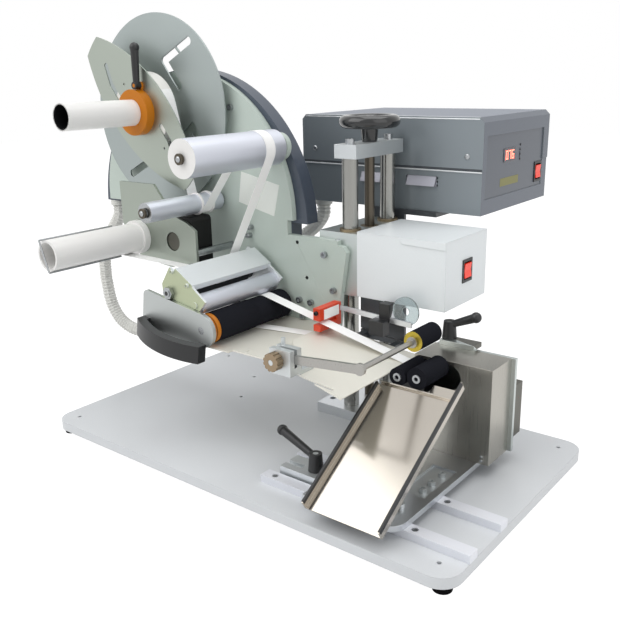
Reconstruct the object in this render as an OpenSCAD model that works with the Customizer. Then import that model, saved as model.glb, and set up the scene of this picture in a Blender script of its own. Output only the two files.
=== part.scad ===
// Semi-automatic round bottle labeling machine: base with columns, lifting head and bottle carriage.
// X runs along the base, Y runs away from the operator, Z is up. Millimetres.

/* [Base] */
// Length of the base plate
base_w = 750; // [700:5:850]
// Depth of the base plate
base_d = 420; // [400:5:480]
// Thickness of the base plate
base_t = 15; // [12:1:20]
// Corner radius of the base plate
base_corner = 30; // [10:1:45]
// Height of the rubber feet
foot_h = 10; // [8:1:20]
// Diameter of the rubber feet
foot_d = 28; // [22:1:36]
// Length of the two slide rails
rail_len = 325; // [300:5:330]
// Width of a slide rail
rail_w = 19; // [16:1:22]
// Height of a slide rail
rail_h = 11; // [9:1:14]

/* [Columns and lift] */
// Diameter of the two guide columns
column_d = 25; // [20:1:28]
// Distance between the column axes
column_pitch = 106; // [100:1:112]
// Height of the top of the columns above the deck
column_top = 423; // [418:1:450]
// Diameter of the lift screw
screw_d = 16; // [12:1:18]
// Outer diameter of the handwheel
wheel_d = 96; // [90:1:125]
// Thickness of the handwheel's rim
wheel_rim = 20; // [10:1:22]

/* [Head plate and casing] */
// Radius of the round part of the main plate
plate_r = 232; // [222:1:240]
// Thickness of the main plate
plate_t = 10; // [8:1:12]
// Radius of the casing behind the main plate
casing_r = 254; // [244:1:262]
// Depth of the casing
casing_t = 27; // [20:1:30]
// Width of the drive housing
housing_w = 154; // [140:1:160]
// Depth of the drive housing
housing_d = 127; // [110:1:130]
// Height of the drive housing
housing_h = 101; // [90:1:105]

/* [Unwinder] */
// Diameter of the rear disc
disc_d = 322; // [300:1:356]
// Thickness of the rear disc
disc_t = 3; // [2:0.5:4]
// Diameter of the label roll
roll_d = 132; // [100:1:150]
// Width of the labels on their backing
label_w = 21; // [12:1:30]
// Outer diameter of the unwinder tube
tube_d = 43; // [36:1:48]
// Length of the bow-tie flange from tip to tip
flange_len = 320; // [280:1:340]
// Width of the bow-tie flange at its middle
flange_mid = 131; // [110:1:140]

/* [Web rollers] */
// Diameter of the large upper roller
top_roller_d = 56; // [50:1:60]
// Diameter of the small roller
small_roller_d = 32; // [28:1:36]
// Diameter of the rubber drive roller
drive_d = 45; // [40:1:46]
// Diameter of the aluminium press roller
press_d = 30; // [26:1:32]
// Diameter of the rewinder tube
rewind_d = 50; // [40:1:54]

/* [Control box] */
// Width of the control box
control_w = 354; // [320:1:360]
// Depth of the control box
control_d = 252; // [220:1:260]
// Height of the control box
control_h = 151; // [140:1:160]
// Outer diameter of the ribbed conduit
conduit_d = 26; // [20:1:28]
// Number of ribs on the conduit
conduit_ribs = 140; // [60:1:150]

/* [Carriage] */
// Width of the bottle carriage plate
carriage_w = 145; // [135:1:150]
// Depth of the bottle carriage plate
carriage_d = 276; // [270:1:280]
// Thickness of the carriage plate
carriage_t = 8; // [6:1:9]
// Diameter of the driven bottle roller
bottle_roller_d = 31; // [28:1:33]
// Width of the chute
chute_w = 117; // [100:1:120]
// Slope of the chute
chute_slope = 32.6; // [28:0.1:34]
// Height of the side walls of the chute
chute_wall = 14; // [10:1:18]

/* [Hidden] */
$fn = 64;

// Clearances and shared small sizes
fit = 0.05;
gap = 0.3;
over = 1;
seat = 0.2;
sheet = 1.5;
thin = 2;
wall = 3;
stout = 4;
web_t = 0.4;
m4 = 4;
m5 = 5;
m6 = 6;
m8 = 8;
axle_d = 12;
shaft_d = 10;

// Heights
deck_z = foot_h + base_t;
rail_top = deck_z + rail_h;
block_foot_h = 17;

// Columns
column_x = 19;
front_y = 101;
rear_y = front_y + column_pitch;
screw_y = front_y + column_pitch / 2;
yoke_w = 41;
yoke_h = 21;
yoke_margin = 13;
yoke_z = deck_z + column_top;
foot_block_w = 102;
foot_block_margin = 27;
rim_lift = 31;
rim_z = yoke_z + yoke_h + rim_lift;
hub_d = 30;
hub_h = 30;
spoke_d = 9;
lift_up = 90;

// Head
block_x = -26;
block_w = 72;
block_margin = 20;
block_y = front_y - block_margin - over;
block_back = rear_y + block_margin - over;
block_up = 212;
block_z = deck_z + block_up;
block_h = 99;
housing_x = block_x + block_w;
housing_up = 213;
housing_z = deck_z + housing_up;
housing_right = housing_x + housing_w;
plate_y = block_y - plate_t;
plate_up = 325;
plate_c = [-305, deck_z + plate_up];
casing_up = 306;
casing_c = [-304, deck_z + casing_up];
casing_back = block_y + casing_t;
plate_right = 33;
plate_low_up = 149;
plate_low = deck_z + plate_low_up;
plate_neck_up = 299;
plate_neck_z = deck_z + plate_neck_up;
plate_left_up = 322;
plate_left_z = deck_z + plate_left_up;

// Unwinder
unwind_up = 491;
unwind_c = [-355, deck_z + unwind_up];
disc_y = 52;
flange_y = 10;
flange_t = 2;
flange_turn = 136;
collar_w = 16;
collar_d = 76;
tube_front = -146;
tube_wall = 2.5;
roll_inset = 6;
roll_y = flange_y + roll_inset;
unwind_axle_d = 20;

// Web rollers, centres in X and Z
small_up = 345;
small_c = [-232, deck_z + small_up];
top_up = 438;
top_c = [-101, deck_z + top_up];
drive_up = 185;
drive_c = [-94, deck_z + drive_up];
press_dist = drive_d / 2 + press_d / 2 + 2 * gap + web_t + fit;
press_turn = 114.6;
press_c = [drive_c[0] + press_dist * cos(press_turn), drive_c[1] + press_dist * sin(press_turn)];
pivot_up = 232;
pivot_c = [-164, deck_z + pivot_up];
pivot_sleeve_d = 28;
rewind_up = 283;
rewind_c = [-345, deck_z + rewind_up];
liner_y = -62;
roller_back = 61;
press_front = -117.5;
hub_front = -40;
small_front = -98;
top_front = -133;
drive_front = -112;
rewind_front = -205;
roller_wall = 4;
web_y = 13;
bracket_y = -20;
bracket_t = 5;
motor_len = 44;
motor_w = 86;
motor_up = 283;
motor_c = [-260, deck_z + motor_up];

// Feed and peel
tray_up = 158;
tray_z = deck_z + tray_up;
tray_t = 2;
tray_x = -92;
tray_right = 30;
tray_front = -108;
fold_x = 8;
fold_up = 166;
fold_z = deck_z + fold_up;
peel_x = 176;
peel_drop = 17;
peel_front = -140;
peel_back = 56;
peel_tilt = atan2(peel_drop, peel_x - fold_x);
peel_len = (peel_x - fold_x) / cos(peel_tilt);
peel_t = 2;
bearing_y = -118;
bearing_t = 6;
bearing_tilt = 9;

// Arm
arm_y = -133;
arm_pivot_up = 181;
arm_pivot = [72, deck_z + arm_pivot_up];
arm_reach_up = 193;
arm_reach = [200, deck_z + arm_reach_up];
arm_block_size = [36, 24, 36];
arm_rod_d = 8;
pressure_d = 29;
pressure_front = -6;
pressure_len = 54;

// Control box
control_y = block_back + stout;
control_up = 328;
control_z = deck_z + control_up;
control_seam = 69;
control_right = control_w / 2;
panel_inset = 12;
panel_y = control_y + panel_inset;
panel_w = 219;
panel_up = 24;
panel_z = control_z + panel_up;
panel_h = 98;
rocker_w = 25;
rocker_h = 31;

// Conduit route, points chosen by hand
conduit_route = [[-542, 94, 341.8], [-542, 94, 316], [-548, 93.5, 304], [-560, 92.5, 288],
    [-577, 91, 268], [-590, 90, 246], [-601, 90, 215], [-603, 90, 190], [-602, 90, 165],
    [-590, 90, 115], [-560, 92, 82], [-510, 98, 70], [-465, 120, 80], [-430, 150, 102],
    [-385, 195, 140], [-330, 235, 190], [-260, 258, 240], [-200, 262, 280], [-167, 258, 305],
    [-152, 256, 327], [-152, 256, 353]];

// Carriage
carriage_right = 285;
carriage_x = carriage_right - carriage_w;
carriage_y = -181;
carriage_z = rail_top + seat;
carriage_top = carriage_z + carriage_t;
front_rail_y = -153;
rear_rail_y = -72;
rail_x = base_w / 2 - rail_len;
bottle_up = 151;
bottle_c = [221, deck_z + bottle_up];
idle_up = 147;
idle_c = [190.5, deck_z + idle_up];
idle_d = 26;
bottle_front = -30;
cover_x = 181;
cover_right = 302;
cover_y = 31;
cover_d = 60;
cover_top_up = 161;
cover_top = deck_z + cover_top_up;
cover_t = 1.5;
gear_y = cover_y + cover_d;
gear_t = 6;
gear_x = 183;
gear_right = 308;
chute_x = 166;
chute_low_y = -214;
chute_low_up = 32;
chute_low_z = deck_z + chute_low_up;
chute_len = 207;

module at_origin() { translate([origin_x, origin_y, 0]) children(); }

// A rod along Y from a front face at y
module rod_y(c, y, len, d) { translate([c[0], y, c[1]]) rotate([-90, 0, 0]) cylinder(d = d, h = len); }
module ring_y(c, y, len, d, bore) {
    difference() {
        rod_y(c, y, len, d);
        rod_y(c, y - over, len + 2 * over, bore);
    }
}
// A plate in the XZ plane whose back face is at y
module plate_xz(y, t) { translate([0, y, 0]) rotate([90, 0, 0]) linear_extrude(t) children(); }
module round_rect(w, d, r) {
    square([w - 2 * r, d], center = true);
    square([w, d - 2 * r], center = true);
    for (sx = [-1, 1], sy = [-1, 1]) translate([sx * (w / 2 - r), sy * (d / 2 - r)]) circle(r = r);
}
module slot_2d(len, d) {
    square([len, d], center = true);
    for (s = [-1, 1]) translate([s * len / 2, 0]) circle(d = d);
}
link_share = 0.96;
module link_2d(a, b, d) {
    for (p = [a, b]) translate(p) circle(d = d);
    translate(a) rotate(atan2(b[1] - a[1], b[0] - a[0])) translate([0, -d * link_share / 2])
        square([norm(b - a), d * link_share]);
}
module box_at(p, size) { translate(p) cube(size); }
// A socket head screw whose head stands on z = 0
module cap_screw(d) {
    difference() {
        cylinder(d = 1.7 * d, h = d);
        translate([0, 0, d / 2]) cylinder(d = d, h = d, $fn = 6);
    }
}

// Base and columns
base_hole_shares = [[-0.46, -0.43], [0.46, -0.43], [-0.46, 0.43], [0.46, 0.43], [-0.3, 0.3], [-0.24, 0.1]];
module base_plate() at_origin() color("#c9cdd0") translate([0, 0, foot_h]) difference() {
    linear_extrude(base_t) round_rect(base_w, base_d, base_corner);
    for (s = base_hole_shares) translate([s[0] * base_w, s[1] * base_d, -over])
        cylinder(d = m6, h = base_t + 2 * over);
}
foot_inset = 20;
module rubber_feet() at_origin() color("#1b1b1c")
    for (sx = [-1, 1], sy = [-1, 1])
        translate([sx * (base_w / 2 - foot_inset), sy * (base_d / 2 - foot_inset), 0]) difference() {
            cylinder(d1 = foot_d - m4, d2 = foot_d, h = foot_h);
            translate([0, 0, -over]) cylinder(d = shaft_d, h = foot_h / 2 + over);
        }
rail_screw_shares = [0.06, 0.5, 0.755];
rail_sink_d = 9;
rail_sink = 4.5;
module slide_rails() at_origin() color("#d9dcde")
    for (y = [front_rail_y, rear_rail_y]) difference() {
        box_at([rail_x, y - rail_w / 2, deck_z], [rail_len, rail_w, rail_h]);
        for (s = rail_screw_shares) translate([rail_x + s * rail_len, y, 0]) {
            translate([0, 0, deck_z - over]) cylinder(d = m5 + fit, h = rail_h + 2 * over);
            translate([0, 0, rail_top - rail_sink]) cylinder(d = rail_sink_d, h = rail_sink + over);
        }
    }
module deck_screws() at_origin() color("#9aa0a4") {
    for (y = [front_rail_y, rear_rail_y], s = rail_screw_shares)
        translate([rail_x + s * rail_len, y, rail_top - rail_sink]) cap_screw(m4);
    for (y = [front_y, rear_y]) translate([column_x, y, yoke_z + yoke_h]) cap_screw(m8);
}
module column_base() at_origin() color("#b9bec1") difference() {
    box_at([column_x - foot_block_w / 2, front_y - foot_block_margin, deck_z],
        [foot_block_w, column_pitch + 2 * foot_block_margin, block_foot_h]);
    translate([column_x, screw_y, deck_z + block_foot_h / 2]) cylinder(d = axle_d, h = block_foot_h);
    for (sx = [-1, 1], y = [front_y, rear_y])
        translate([column_x + sx * foot_block_w * foot_bolt_share, y, deck_z + block_foot_h - m6])
            cylinder(d = shaft_d, h = m6 + over);
}
foot_bolt_share = 0.38;
module guide_columns() at_origin() color("#b7ab9c")
    for (y = [front_y, rear_y]) translate([column_x, y, deck_z + block_foot_h])
        cylinder(d = column_d, h = column_top - block_foot_h);
module top_yoke() at_origin() color("#d5d8da") difference() {
    box_at([column_x - yoke_w / 2, front_y - yoke_margin, yoke_z],
        [yoke_w, column_pitch + 2 * yoke_margin, yoke_h]);
    translate([column_x, screw_y, yoke_z - over]) cylinder(d = axle_d + 2 * fit, h = yoke_h + 2 * over);
}
screw_seat = 0.3;
module lead_screw() at_origin() color("#a9adb0") {
    translate([column_x, screw_y, deck_z + block_foot_h / 2 + screw_seat])
        cylinder(d = axle_d - 2 * fit, h = block_foot_h);
    translate([column_x, screw_y, deck_z + block_foot_h + screw_seat])
        cylinder(d = screw_d, h = column_top - block_foot_h - 2 * screw_seat);
    translate([column_x, screw_y, yoke_z - thin]) cylinder(d = axle_d, h = rim_z - yoke_z + thin);
}
spoke_rise = 0.35;
module handwheel() at_origin() translate([column_x, screw_y, 0]) color("#18191a") {
    translate([0, 0, rim_z]) rotate_extrude() translate([(wheel_d - wheel_rim) / 2, 0])
        circle(d = wheel_rim, $fn = 32);
    difference() {
        union() {
            translate([0, 0, yoke_z + yoke_h + screw_seat]) cylinder(d1 = hub_d * 0.8, d2 = hub_d, h = hub_h);
            for (a = [90 : 120 : 330]) rotate([0, 0, a])
                translate([hub_d * spoke_rise, 0, rim_z]) rotate([0, 90, 0])
                    cylinder(d = spoke_d, h = (wheel_d - wheel_rim) / 2 - hub_d * spoke_rise);
        }
        translate([0, 0, yoke_z]) cylinder(d = axle_d + fit, h = rim_z - yoke_z + fit);
    }
}

// Lifting block and drive housing
bush_d = 34;
nut_d = 30;
module slide_block() at_origin() color("#a9b5ad") difference() {
    box_at([block_x, block_y, block_z], [block_w, block_back - block_y, block_h]);
    for (y = [front_y, rear_y]) translate([column_x, y, block_z - over])
        cylinder(d = bush_d, h = block_h + 2 * over);
    translate([column_x, screw_y, block_z - over]) cylinder(d = nut_d, h = block_h + 2 * over);
}
bush_flange = 4;
module lift_bushings() at_origin() color("#b08d4a") {
    for (y = [front_y, rear_y]) translate([column_x, y, block_z]) difference() {
        cylinder(d = bush_d, h = block_h + bush_flange);
        translate([0, 0, -over]) cylinder(d = column_d + 2 * fit, h = block_h + bush_flange + 2 * over);
    }
    translate([column_x, screw_y, block_z]) difference() {
        cylinder(d = nut_d, h = block_h);
        translate([0, 0, -over]) cylinder(d = screw_d + 2 * fit, h = block_h + 2 * over);
    }
}
lip_share = 0.49;
lid_lip = 12;
housing_switch_up = 263;
housing_switch_back = 65;
housing_switch = [housing_right, block_y + housing_switch_back, deck_z + housing_switch_up];
module rocker_window(c) translate(c) cube([2 * m8, rocker_w, rocker_h], center = true);
module housing_box() at_origin() color("#dfe5e4") difference() {
    box_at([housing_x, block_y, housing_z], [housing_w, housing_d, housing_h]);
    box_at([housing_x + wall, block_y + wall, housing_z + wall],
        [housing_w - 2 * wall, housing_d - 2 * wall, housing_h]);
    rocker_window(housing_switch);
}
module housing_lid() at_origin() color("#e3e8e8") {
    box_at([housing_x, block_y, housing_z + housing_h], [housing_w, housing_d, sheet]);
    plate_xz(block_y, sheet) polygon([for (s = lip_shares)
        [housing_x + s[0] * housing_w, housing_z + housing_h + sheet - s[1] * lid_lip]]);
}
lip_shares = [[0.49, 0], [0.53, 0.85], [0.98, 1], [1, 0.9], [1, 0]];

// Main plate and casing
neck_w = 117;
neck_shares = [[0, 1.05], [0, 0.95], [0.2, 0.915], [0.55, 0.92], [0.95, 0.86], [1, 0.81], [0.9, 0.37],
    [0.86, 0]];
neck_h = 164;
diagonal_shares = [0.26, 0.64];
module plate_outline(c, r, low, inset = 0) {
    intersection() {
        translate(c) circle(r = r, $fn = 128);
        translate([c[0] - 2 * r, low]) square([4 * r, 4 * r]);
    }
    polygon([[c[0] - r, low + over], [c[0] - r + r * diagonal_shares[0], low],
        [c[0] + r * diagonal_shares[1], plate_low + inset], [plate_right - neck_w - inset, plate_low + inset],
        [plate_right - neck_w - inset, low + over]]);
}
module plate_neck() polygon([for (s = neck_shares)
    [plate_right - neck_w + s[0] * neck_w, plate_low + s[1] * neck_h]]);
module main_plate() at_origin() color("#b3beb6") difference() {
    plate_xz(block_y, plate_t) union() {
        plate_outline(plate_c, plate_r, plate_left_z);
        plate_neck();
        translate(top_c) circle(d = top_roller_d - 2 * m6);
        translate([plate_right - neck_w, plate_low])
            square([neck_w * neck_shares[7][0], neck_h * neck_shares[2][1]]);
    }
    rod_y(unwind_c, plate_y - over, plate_t + 2 * over, unwind_axle_d);
    for (c = [small_c, top_c, drive_c, pivot_c]) rod_y(c, plate_y - over, plate_t + 2 * over, axle_d);
}
module casing_profile(inset) plate_outline(casing_c, casing_r - inset,
    plate_left_z - conduit_d * casing_drop_share + inset, inset);
casing_drop_share = 0.2;
module back_casing() at_origin() color("#5b6470") difference() {
    plate_xz(casing_back, casing_t - seat) casing_profile(0);
    plate_xz(casing_back - thin, casing_t - 2 * thin - seat) casing_profile(thin);
    rod_y(plate_c, block_y, 2 * thin, plate_r);
}
head_bolt_shares = [[0.466, 0.746], [1.28, -0.216], [1.353, -0.457], [1.052, -0.569],
    [1.155, -0.573], [0.948, -0.682], [1.082, -0.682]];
module axles_and_bolts() at_origin() color("#b4b8bb") {
    rod_y(unwind_c, hub_front - m8, block_y - hub_front + m8, unwind_axle_d);
    for (a = [[small_c, small_front], [top_c, top_front]]) {
        rod_y(a[0], a[1] - gap - thin, block_y - a[1] + gap + thin, axle_d);
        rod_y(a[0], a[1] - gap - thin - m4, m4, axle_d + m4);
    }
    rod_y(drive_c, bearing_y - bearing_t, block_y - bearing_y + bearing_t, axle_d);
    rod_y(pivot_c, press_front - m8, block_y - press_front + m8, axle_d);
    translate([pivot_c[0], press_front - gap, pivot_c[1]]) rotate([90, 0, 0])
        cylinder(d = unwind_axle_d, h = m6, $fn = 6);
    for (a = [[small_c, roller_back], [top_c, roller_back], [drive_c, roller_back], [pivot_c, roller_back]])
        ring_y(a[0], a[1] + gap, plate_y - a[1] - gap, unwind_axle_d, axle_d);
    for (s = head_bolt_shares) translate([plate_c[0] + s[0] * plate_r, plate_y, plate_c[1] + s[1] * plate_r])
        rotate([90, 0, 0]) cap_screw(m6);
    for (s = spacer_shares)
        rod_y(rewind_c + motor_w * s, bracket_y + bracket_t, plate_y - bracket_y - bracket_t, axle_d);
}

// Rewinder bracket and motor
bracket_shares = [[-0.5, 0.233], [-0.5, 1.081], [0.523, 1.081], [1.012, 0.512], [1.395, 0.407],
    [1.628, 0.267], [1.628, -0.337], [0.907, -0.523], [0, -0.442]];
spacer_shares = [[-0.36, 0.198], [0.291, -0.314], [1.57, -0.174]];
module rewind_bracket() at_origin() color("#bcc4c0") difference() {
    plate_xz(bracket_y + bracket_t, bracket_t) polygon([for (s = bracket_shares) rewind_c + motor_w * s]);
    rod_y(motor_c, bracket_y - over, bracket_t + 2 * over, motor_pilot_d);
    rod_y(rewind_c, bracket_y - over, bracket_t + 2 * over, axle_d + 2 * fit);
}
motor_pilot_d = 32;
motor_corner = 8;
module stepper_motor() at_origin() color("#202223") {
    translate([motor_c[0], bracket_y + bracket_t + motor_len, motor_c[1]]) rotate([90, 0, 0])
        linear_extrude(motor_len) round_rect(motor_w, motor_w, motor_corner);
    rod_y(motor_c, bracket_y + thin, bracket_t, motor_pilot_d - thin);
}

// Front bearing plate and handle, tilted about the drive roller
module about_drive(y) translate([drive_c[0], y, drive_c[1]]) rotate([0, bearing_tilt, 0]) children();
bearing_round = 26;
bearing_len = 130;
bearing_drop = 44;
module bearing_plate() at_origin() color("#c4c6c6") difference() {
    about_drive(bearing_y) rotate([90, 0, 0]) linear_extrude(bearing_t) difference() {
        union() {
            circle(r = bearing_round);
            translate([-bearing_len + m8, -bearing_drop])
                square([bearing_len - m8, bearing_drop + bearing_round]);
            translate([-bearing_len, -bearing_drop + m8]) square([m8, bearing_drop + bearing_round - 2 * m8]);
            for (z = [m8 - bearing_drop, bearing_round - m8]) translate([m8 - bearing_len, z]) circle(r = m8);
        }
        circle(d = axle_d + 2 * fit);
    }
}
handle_h = 28;
handle_low = 46;
handle_out = 34;
handle_t = 13;
handle_left = -126;
handle_right = 12;
handle_foot = 15;
module handle_curve(inner) {
    half = (handle_right - handle_left) / 2;
    rise = handle_out - handle_foot;
    r = (half * half + rise * rise) / (2 * rise) - inner;
    intersection() {
        translate([half, handle_out - inner - r]) circle(r = r, $fn = 128);
        translate([inner, 0]) square([2 * half - 2 * inner, handle_out]);
    }
}
module bow_handle() at_origin() color("#242627") about_drive(bearing_y - bearing_t)
    translate([handle_left, 0, -handle_low]) mirror([0, 1, 0]) linear_extrude(handle_h) difference() {
        handle_curve(0);
        translate([0, -over]) handle_curve(handle_t);
    }

// Tray, peel plate and head brackets
module feed_tray() at_origin() color("#c8c9c6") difference() {
    box_at([tray_x, tray_front, tray_z], [tray_right - tray_x, plate_y - tray_front, tray_t]);
    for (s = tray_hole_shares) translate([tray_x + s[0] * (tray_right - tray_x), tray_front * s[1],
        tray_z - over])
        cylinder(d = m5, h = tray_t + 2 * over);
}
tray_hole_shares = [[0.85, 0.9], [0.55, 0.9], [0.85, 0.55]];
module on_peel(y) translate([fold_x, y, fold_z]) rotate([0, peel_tilt, 0]) children();
peel_shares = [[0, 0.54], [0.46, 0.1], [0.99, 0], [0.99, 1], [0, 1]];
peel_slot_shares = [0.5, 0.86, 0.07];
module peel_plate() at_origin() color("#c5c4bf") on_peel(0) {
    difference() {
        translate([0, 0, -peel_t]) linear_extrude(peel_t) polygon([for (s = peel_shares)
            [s[0] * peel_len, peel_front + s[1] * (peel_back - peel_front)]]);
        translate([(peel_slot_shares[0] + peel_slot_shares[1]) * peel_len / 2,
            peel_front + peel_slot_shares[2] * (peel_back - peel_front), -peel_t - over])
            linear_extrude(peel_t + 2 * over)
                slot_2d((peel_slot_shares[1] - peel_slot_shares[0]) * peel_len - m5, m5);
    }
    translate([peel_len * peel_shares[2][0], peel_front, -peel_t / 2]) rotate([-90, 0, 0])
        cylinder(d = peel_t, h = peel_back - peel_front);
}
hang_x = 50;
hang_w = 80;
hang_y = 84;
hang_t = 6;
bar_w = 10;
bar_h = 11;
bar_front = -104;
bar_back = hang_y + hang_t;
bar_at_shares = [0.32, 0.68];
carry_x = -40;
carry_w = 140;
carry_back = 430;
carry_t = 8;
carry_neck_x = -20;
carry_neck_w = 60;
track_gap = 5;
module head_brackets() at_origin() color("#5d6266") {
    difference() {
        union() {
            plate_xz(hang_y + hang_t, hang_t)
                polygon([[hang_x, housing_z], [hang_x, fold_z - hang_h_share * hang_w],
                [hang_x + hang_w, fold_z - hang_h_share * hang_w], [hang_x + hang_w, housing_z]]);
            for (s = bar_at_shares) on_peel(0)
                translate([s * peel_len - bar_w / 2, bar_front, -peel_t - bar_h])
                    cube([bar_w, bar_back - bar_front, bar_h]);
        }
        on_peel(0) translate([0, web_y - track_gap, -peel_t - thin])
            cube([peel_len, label_w + 2 * track_gap, thin + over]);
        on_peel(0) translate([0, hang_y - over, -peel_t]) cube([peel_len, hang_t + 2 * over, peel_t]);
    }
    box_at([carry_neck_x, block_back, block_z + block_h / 2],
        [carry_neck_w, hang_t, control_z - block_z - block_h / 2]);
    box_at([carry_x, block_back + seat, control_z - carry_t], [carry_w, carry_back - block_back, carry_t]);
}
hang_h_share = 0.25;

// Sensor rail, fork sensor and guide disc
sensor_rail_x = 28;
sensor_rail_len = 130;
sensor_rail_up = 197;
sensor_rail_z = deck_z + sensor_rail_up;
sensor_rail_h = 8;
sensor_rail_y = 58;
sensor_rail_t = 3;
sensor_rail_tilt = 2.7;
clamp_x = 103;
clamp_w = 18;
clamp_h = 28;
lower_clamp_w = 25;
lower_clamp_h = 22;
module sensor_rail() at_origin() color("#3a3d40") {
    translate([sensor_rail_x, sensor_rail_y, sensor_rail_z - sensor_rail_h / 2])
        rotate([0, sensor_rail_tilt, 0])
        cube([sensor_rail_len, sensor_rail_t, sensor_rail_h]);
    box_at([clamp_x, sensor_rail_y - thin, sensor_rail_z - sensor_rail_h], [clamp_w, clamp_w - thin,
        clamp_h]);
    box_at([clamp_x - m8, sensor_rail_y - clamp_w, sensor_rail_z - lower_clamp_h - sensor_rail_h / 2],
        [lower_clamp_w, clamp_w, lower_clamp_h]);
    rod_y([clamp_x + clamp_w / 2, sensor_rail_z + m8], sensor_rail_y + clamp_w / 2,
        hang_y - sensor_rail_y - clamp_w / 2, m8);
}
fork_x = 15;
fork_y = 8;
fork_size = [13, 54, 36];
fork_low = 170;
fork_slot = 7;
fork_slot_low = 10;
fork_slot_d = 42;
module fork_sensor() at_origin() color("#d8401c") difference() {
    box_at([fork_x, fork_y, deck_z + fork_low], fork_size);
    box_at([fork_x - over, fork_y - over, deck_z + fork_low + fork_slot_low],
        [fork_size[0] + 2 * over, fork_slot_d + over, fork_slot]);
}
guide_disc_up = 210;
guide_disc_c = [146, deck_z + guide_disc_up];
guide_disc_d = 44;
module guide_disc() at_origin() color("#9fb0b4")
    ring_y(guide_disc_c, sensor_rail_y + sensor_rail_t, sensor_rail_t, guide_disc_d, axle_d);

// Control box
lid_over = 1;
lid_chamfer = 8;
lid_h = control_h - control_seam;
panel_t = 2;
panel_sink = 4;
switch_low = 48;
control_switch_up = 376;
control_switch_back = 215;
control_switch = [control_right - panel_sink + panel_t, control_y + control_switch_back,
    deck_z + control_switch_up];
louver_h = 3;
louver_count = 3;
louver_places_shares = [[0.61, 0.17, 0.28], [0.36, 0.11, 0.3]];
module panel_recess() box_at([control_right - panel_sink, panel_y, panel_z],
    [panel_sink + over, panel_w, panel_h]);
module control_shell() at_origin() color("#5c626b") difference() {
    box_at([lid_over - control_right, control_y + lid_over, control_z],
        [control_w - 2 * lid_over, control_d - 2 * lid_over, control_seam - fit]);
    box_at([wall - control_right, control_y + wall, control_z + thin],
        [control_w - 2 * wall - panel_sink, control_d - 2 * wall, control_seam]);
    panel_recess();
    rocker_window(control_switch);
    for (l = louver_places_shares, i = [0 : louver_count - 1])
        box_at([l[0] * control_w - control_right, control_y, control_z + control_seam * 0.6
            + i * 2 * louver_h],
            [l[1] * control_w, lid_over + thin, louver_h]);
}
module control_lid() at_origin() color("#666c75") difference() {
    translate([0, control_y, control_z + control_seam]) intersection() {
        translate([-control_right, 0, 0]) cube([control_w, control_d, lid_h]);
        translate([-control_right, control_d, 0]) rotate([90, 0, 0]) linear_extrude(control_d)
            polygon([[0, 0],
            [control_w, 0], [control_w, lid_h - lid_chamfer], [control_w - lid_chamfer, lid_h],
            [lid_chamfer, lid_h], [0, lid_h - lid_chamfer]]);
    }
    box_at([lid_chamfer - control_right, control_y + wall, control_z + control_seam - over],
        [control_w - 2 * lid_chamfer, control_d - 2 * wall, lid_h - thin + over]);
    panel_recess();
}
display_w = 44;
display_h = 22;
display_back = 76;
display_y = control_y + display_back;
display_up = 404;
display_z = deck_z + display_up;
led_d = 4;
led_back = 139;
led_y = control_y + led_back;
module control_panel() at_origin() color("#4b5057") {
    difference() {
        box_at([control_right - panel_sink, panel_y + fit, panel_z + fit],
            [panel_t, panel_w - 2 * fit, panel_h - 2 * fit]);
        rocker_window(control_switch);
    }
    box_at([control_right - panel_sink + panel_t, display_y, display_z], [lid_over, display_w, display_h]);
    for (i = [0 : 2]) translate([control_right - panel_sink + panel_t, led_y, display_z + m5 + i * m6])
        rotate([0, 90, 0]) cylinder(d = led_d, h = lid_over);
}
bezel_rim = 2;
bezel_out = 1.5;
module bezel(c) translate(c) difference() {
    union() {
        translate([-m6, seat - rocker_w / 2, seat - rocker_h / 2])
            cube([m6 + over, rocker_w - 2 * seat, rocker_h - 2 * seat]);
        translate([0, -rocker_w / 2 - bezel_rim, -rocker_h / 2 - bezel_rim])
            cube([bezel_out, rocker_w + 2 * bezel_rim, rocker_h + 2 * bezel_rim]);
    }
    translate([-m8, bezel_rim - rocker_w / 2, bezel_rim - rocker_h / 2])
        cube([2 * m8, rocker_w - 2 * bezel_rim, rocker_h - 2 * bezel_rim]);
}
module switch_bezels() at_origin() color("#2a2c2e") {
    bezel(housing_switch);
    bezel(control_switch);
}
rocker_shares = [[-5, -0.2], [-0.5, -0.4], [3, -0.4], [1.5, 0], [3, 0.4], [-0.5, 0.4], [-5, 0.2]];
rocker_clear = 0.5;
rocker_pin = 0.3;
rocker_len = rocker_w - 2 * bezel_rim - 2 * rocker_clear;
module rocker(c) translate([c[0], c[1] - rocker_len / 2, c[2]]) rotate([-90, 0, 0]) {
    linear_extrude(rocker_len) polygon([for (s = rocker_shares)
        [s[0] * over, s[1] * (rocker_h - 2 * bezel_rim)]]);
    translate([-rocker_pin_in, 0, -rocker_pin]) cylinder(d = thin, h = rocker_len + 2 * rocker_pin);
}
rocker_pin_in = 2.5;
module housing_rocker() at_origin() color("#d3271f") rocker(housing_switch);
module control_rocker() at_origin() color("#d3271f") rocker(control_switch);

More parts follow.
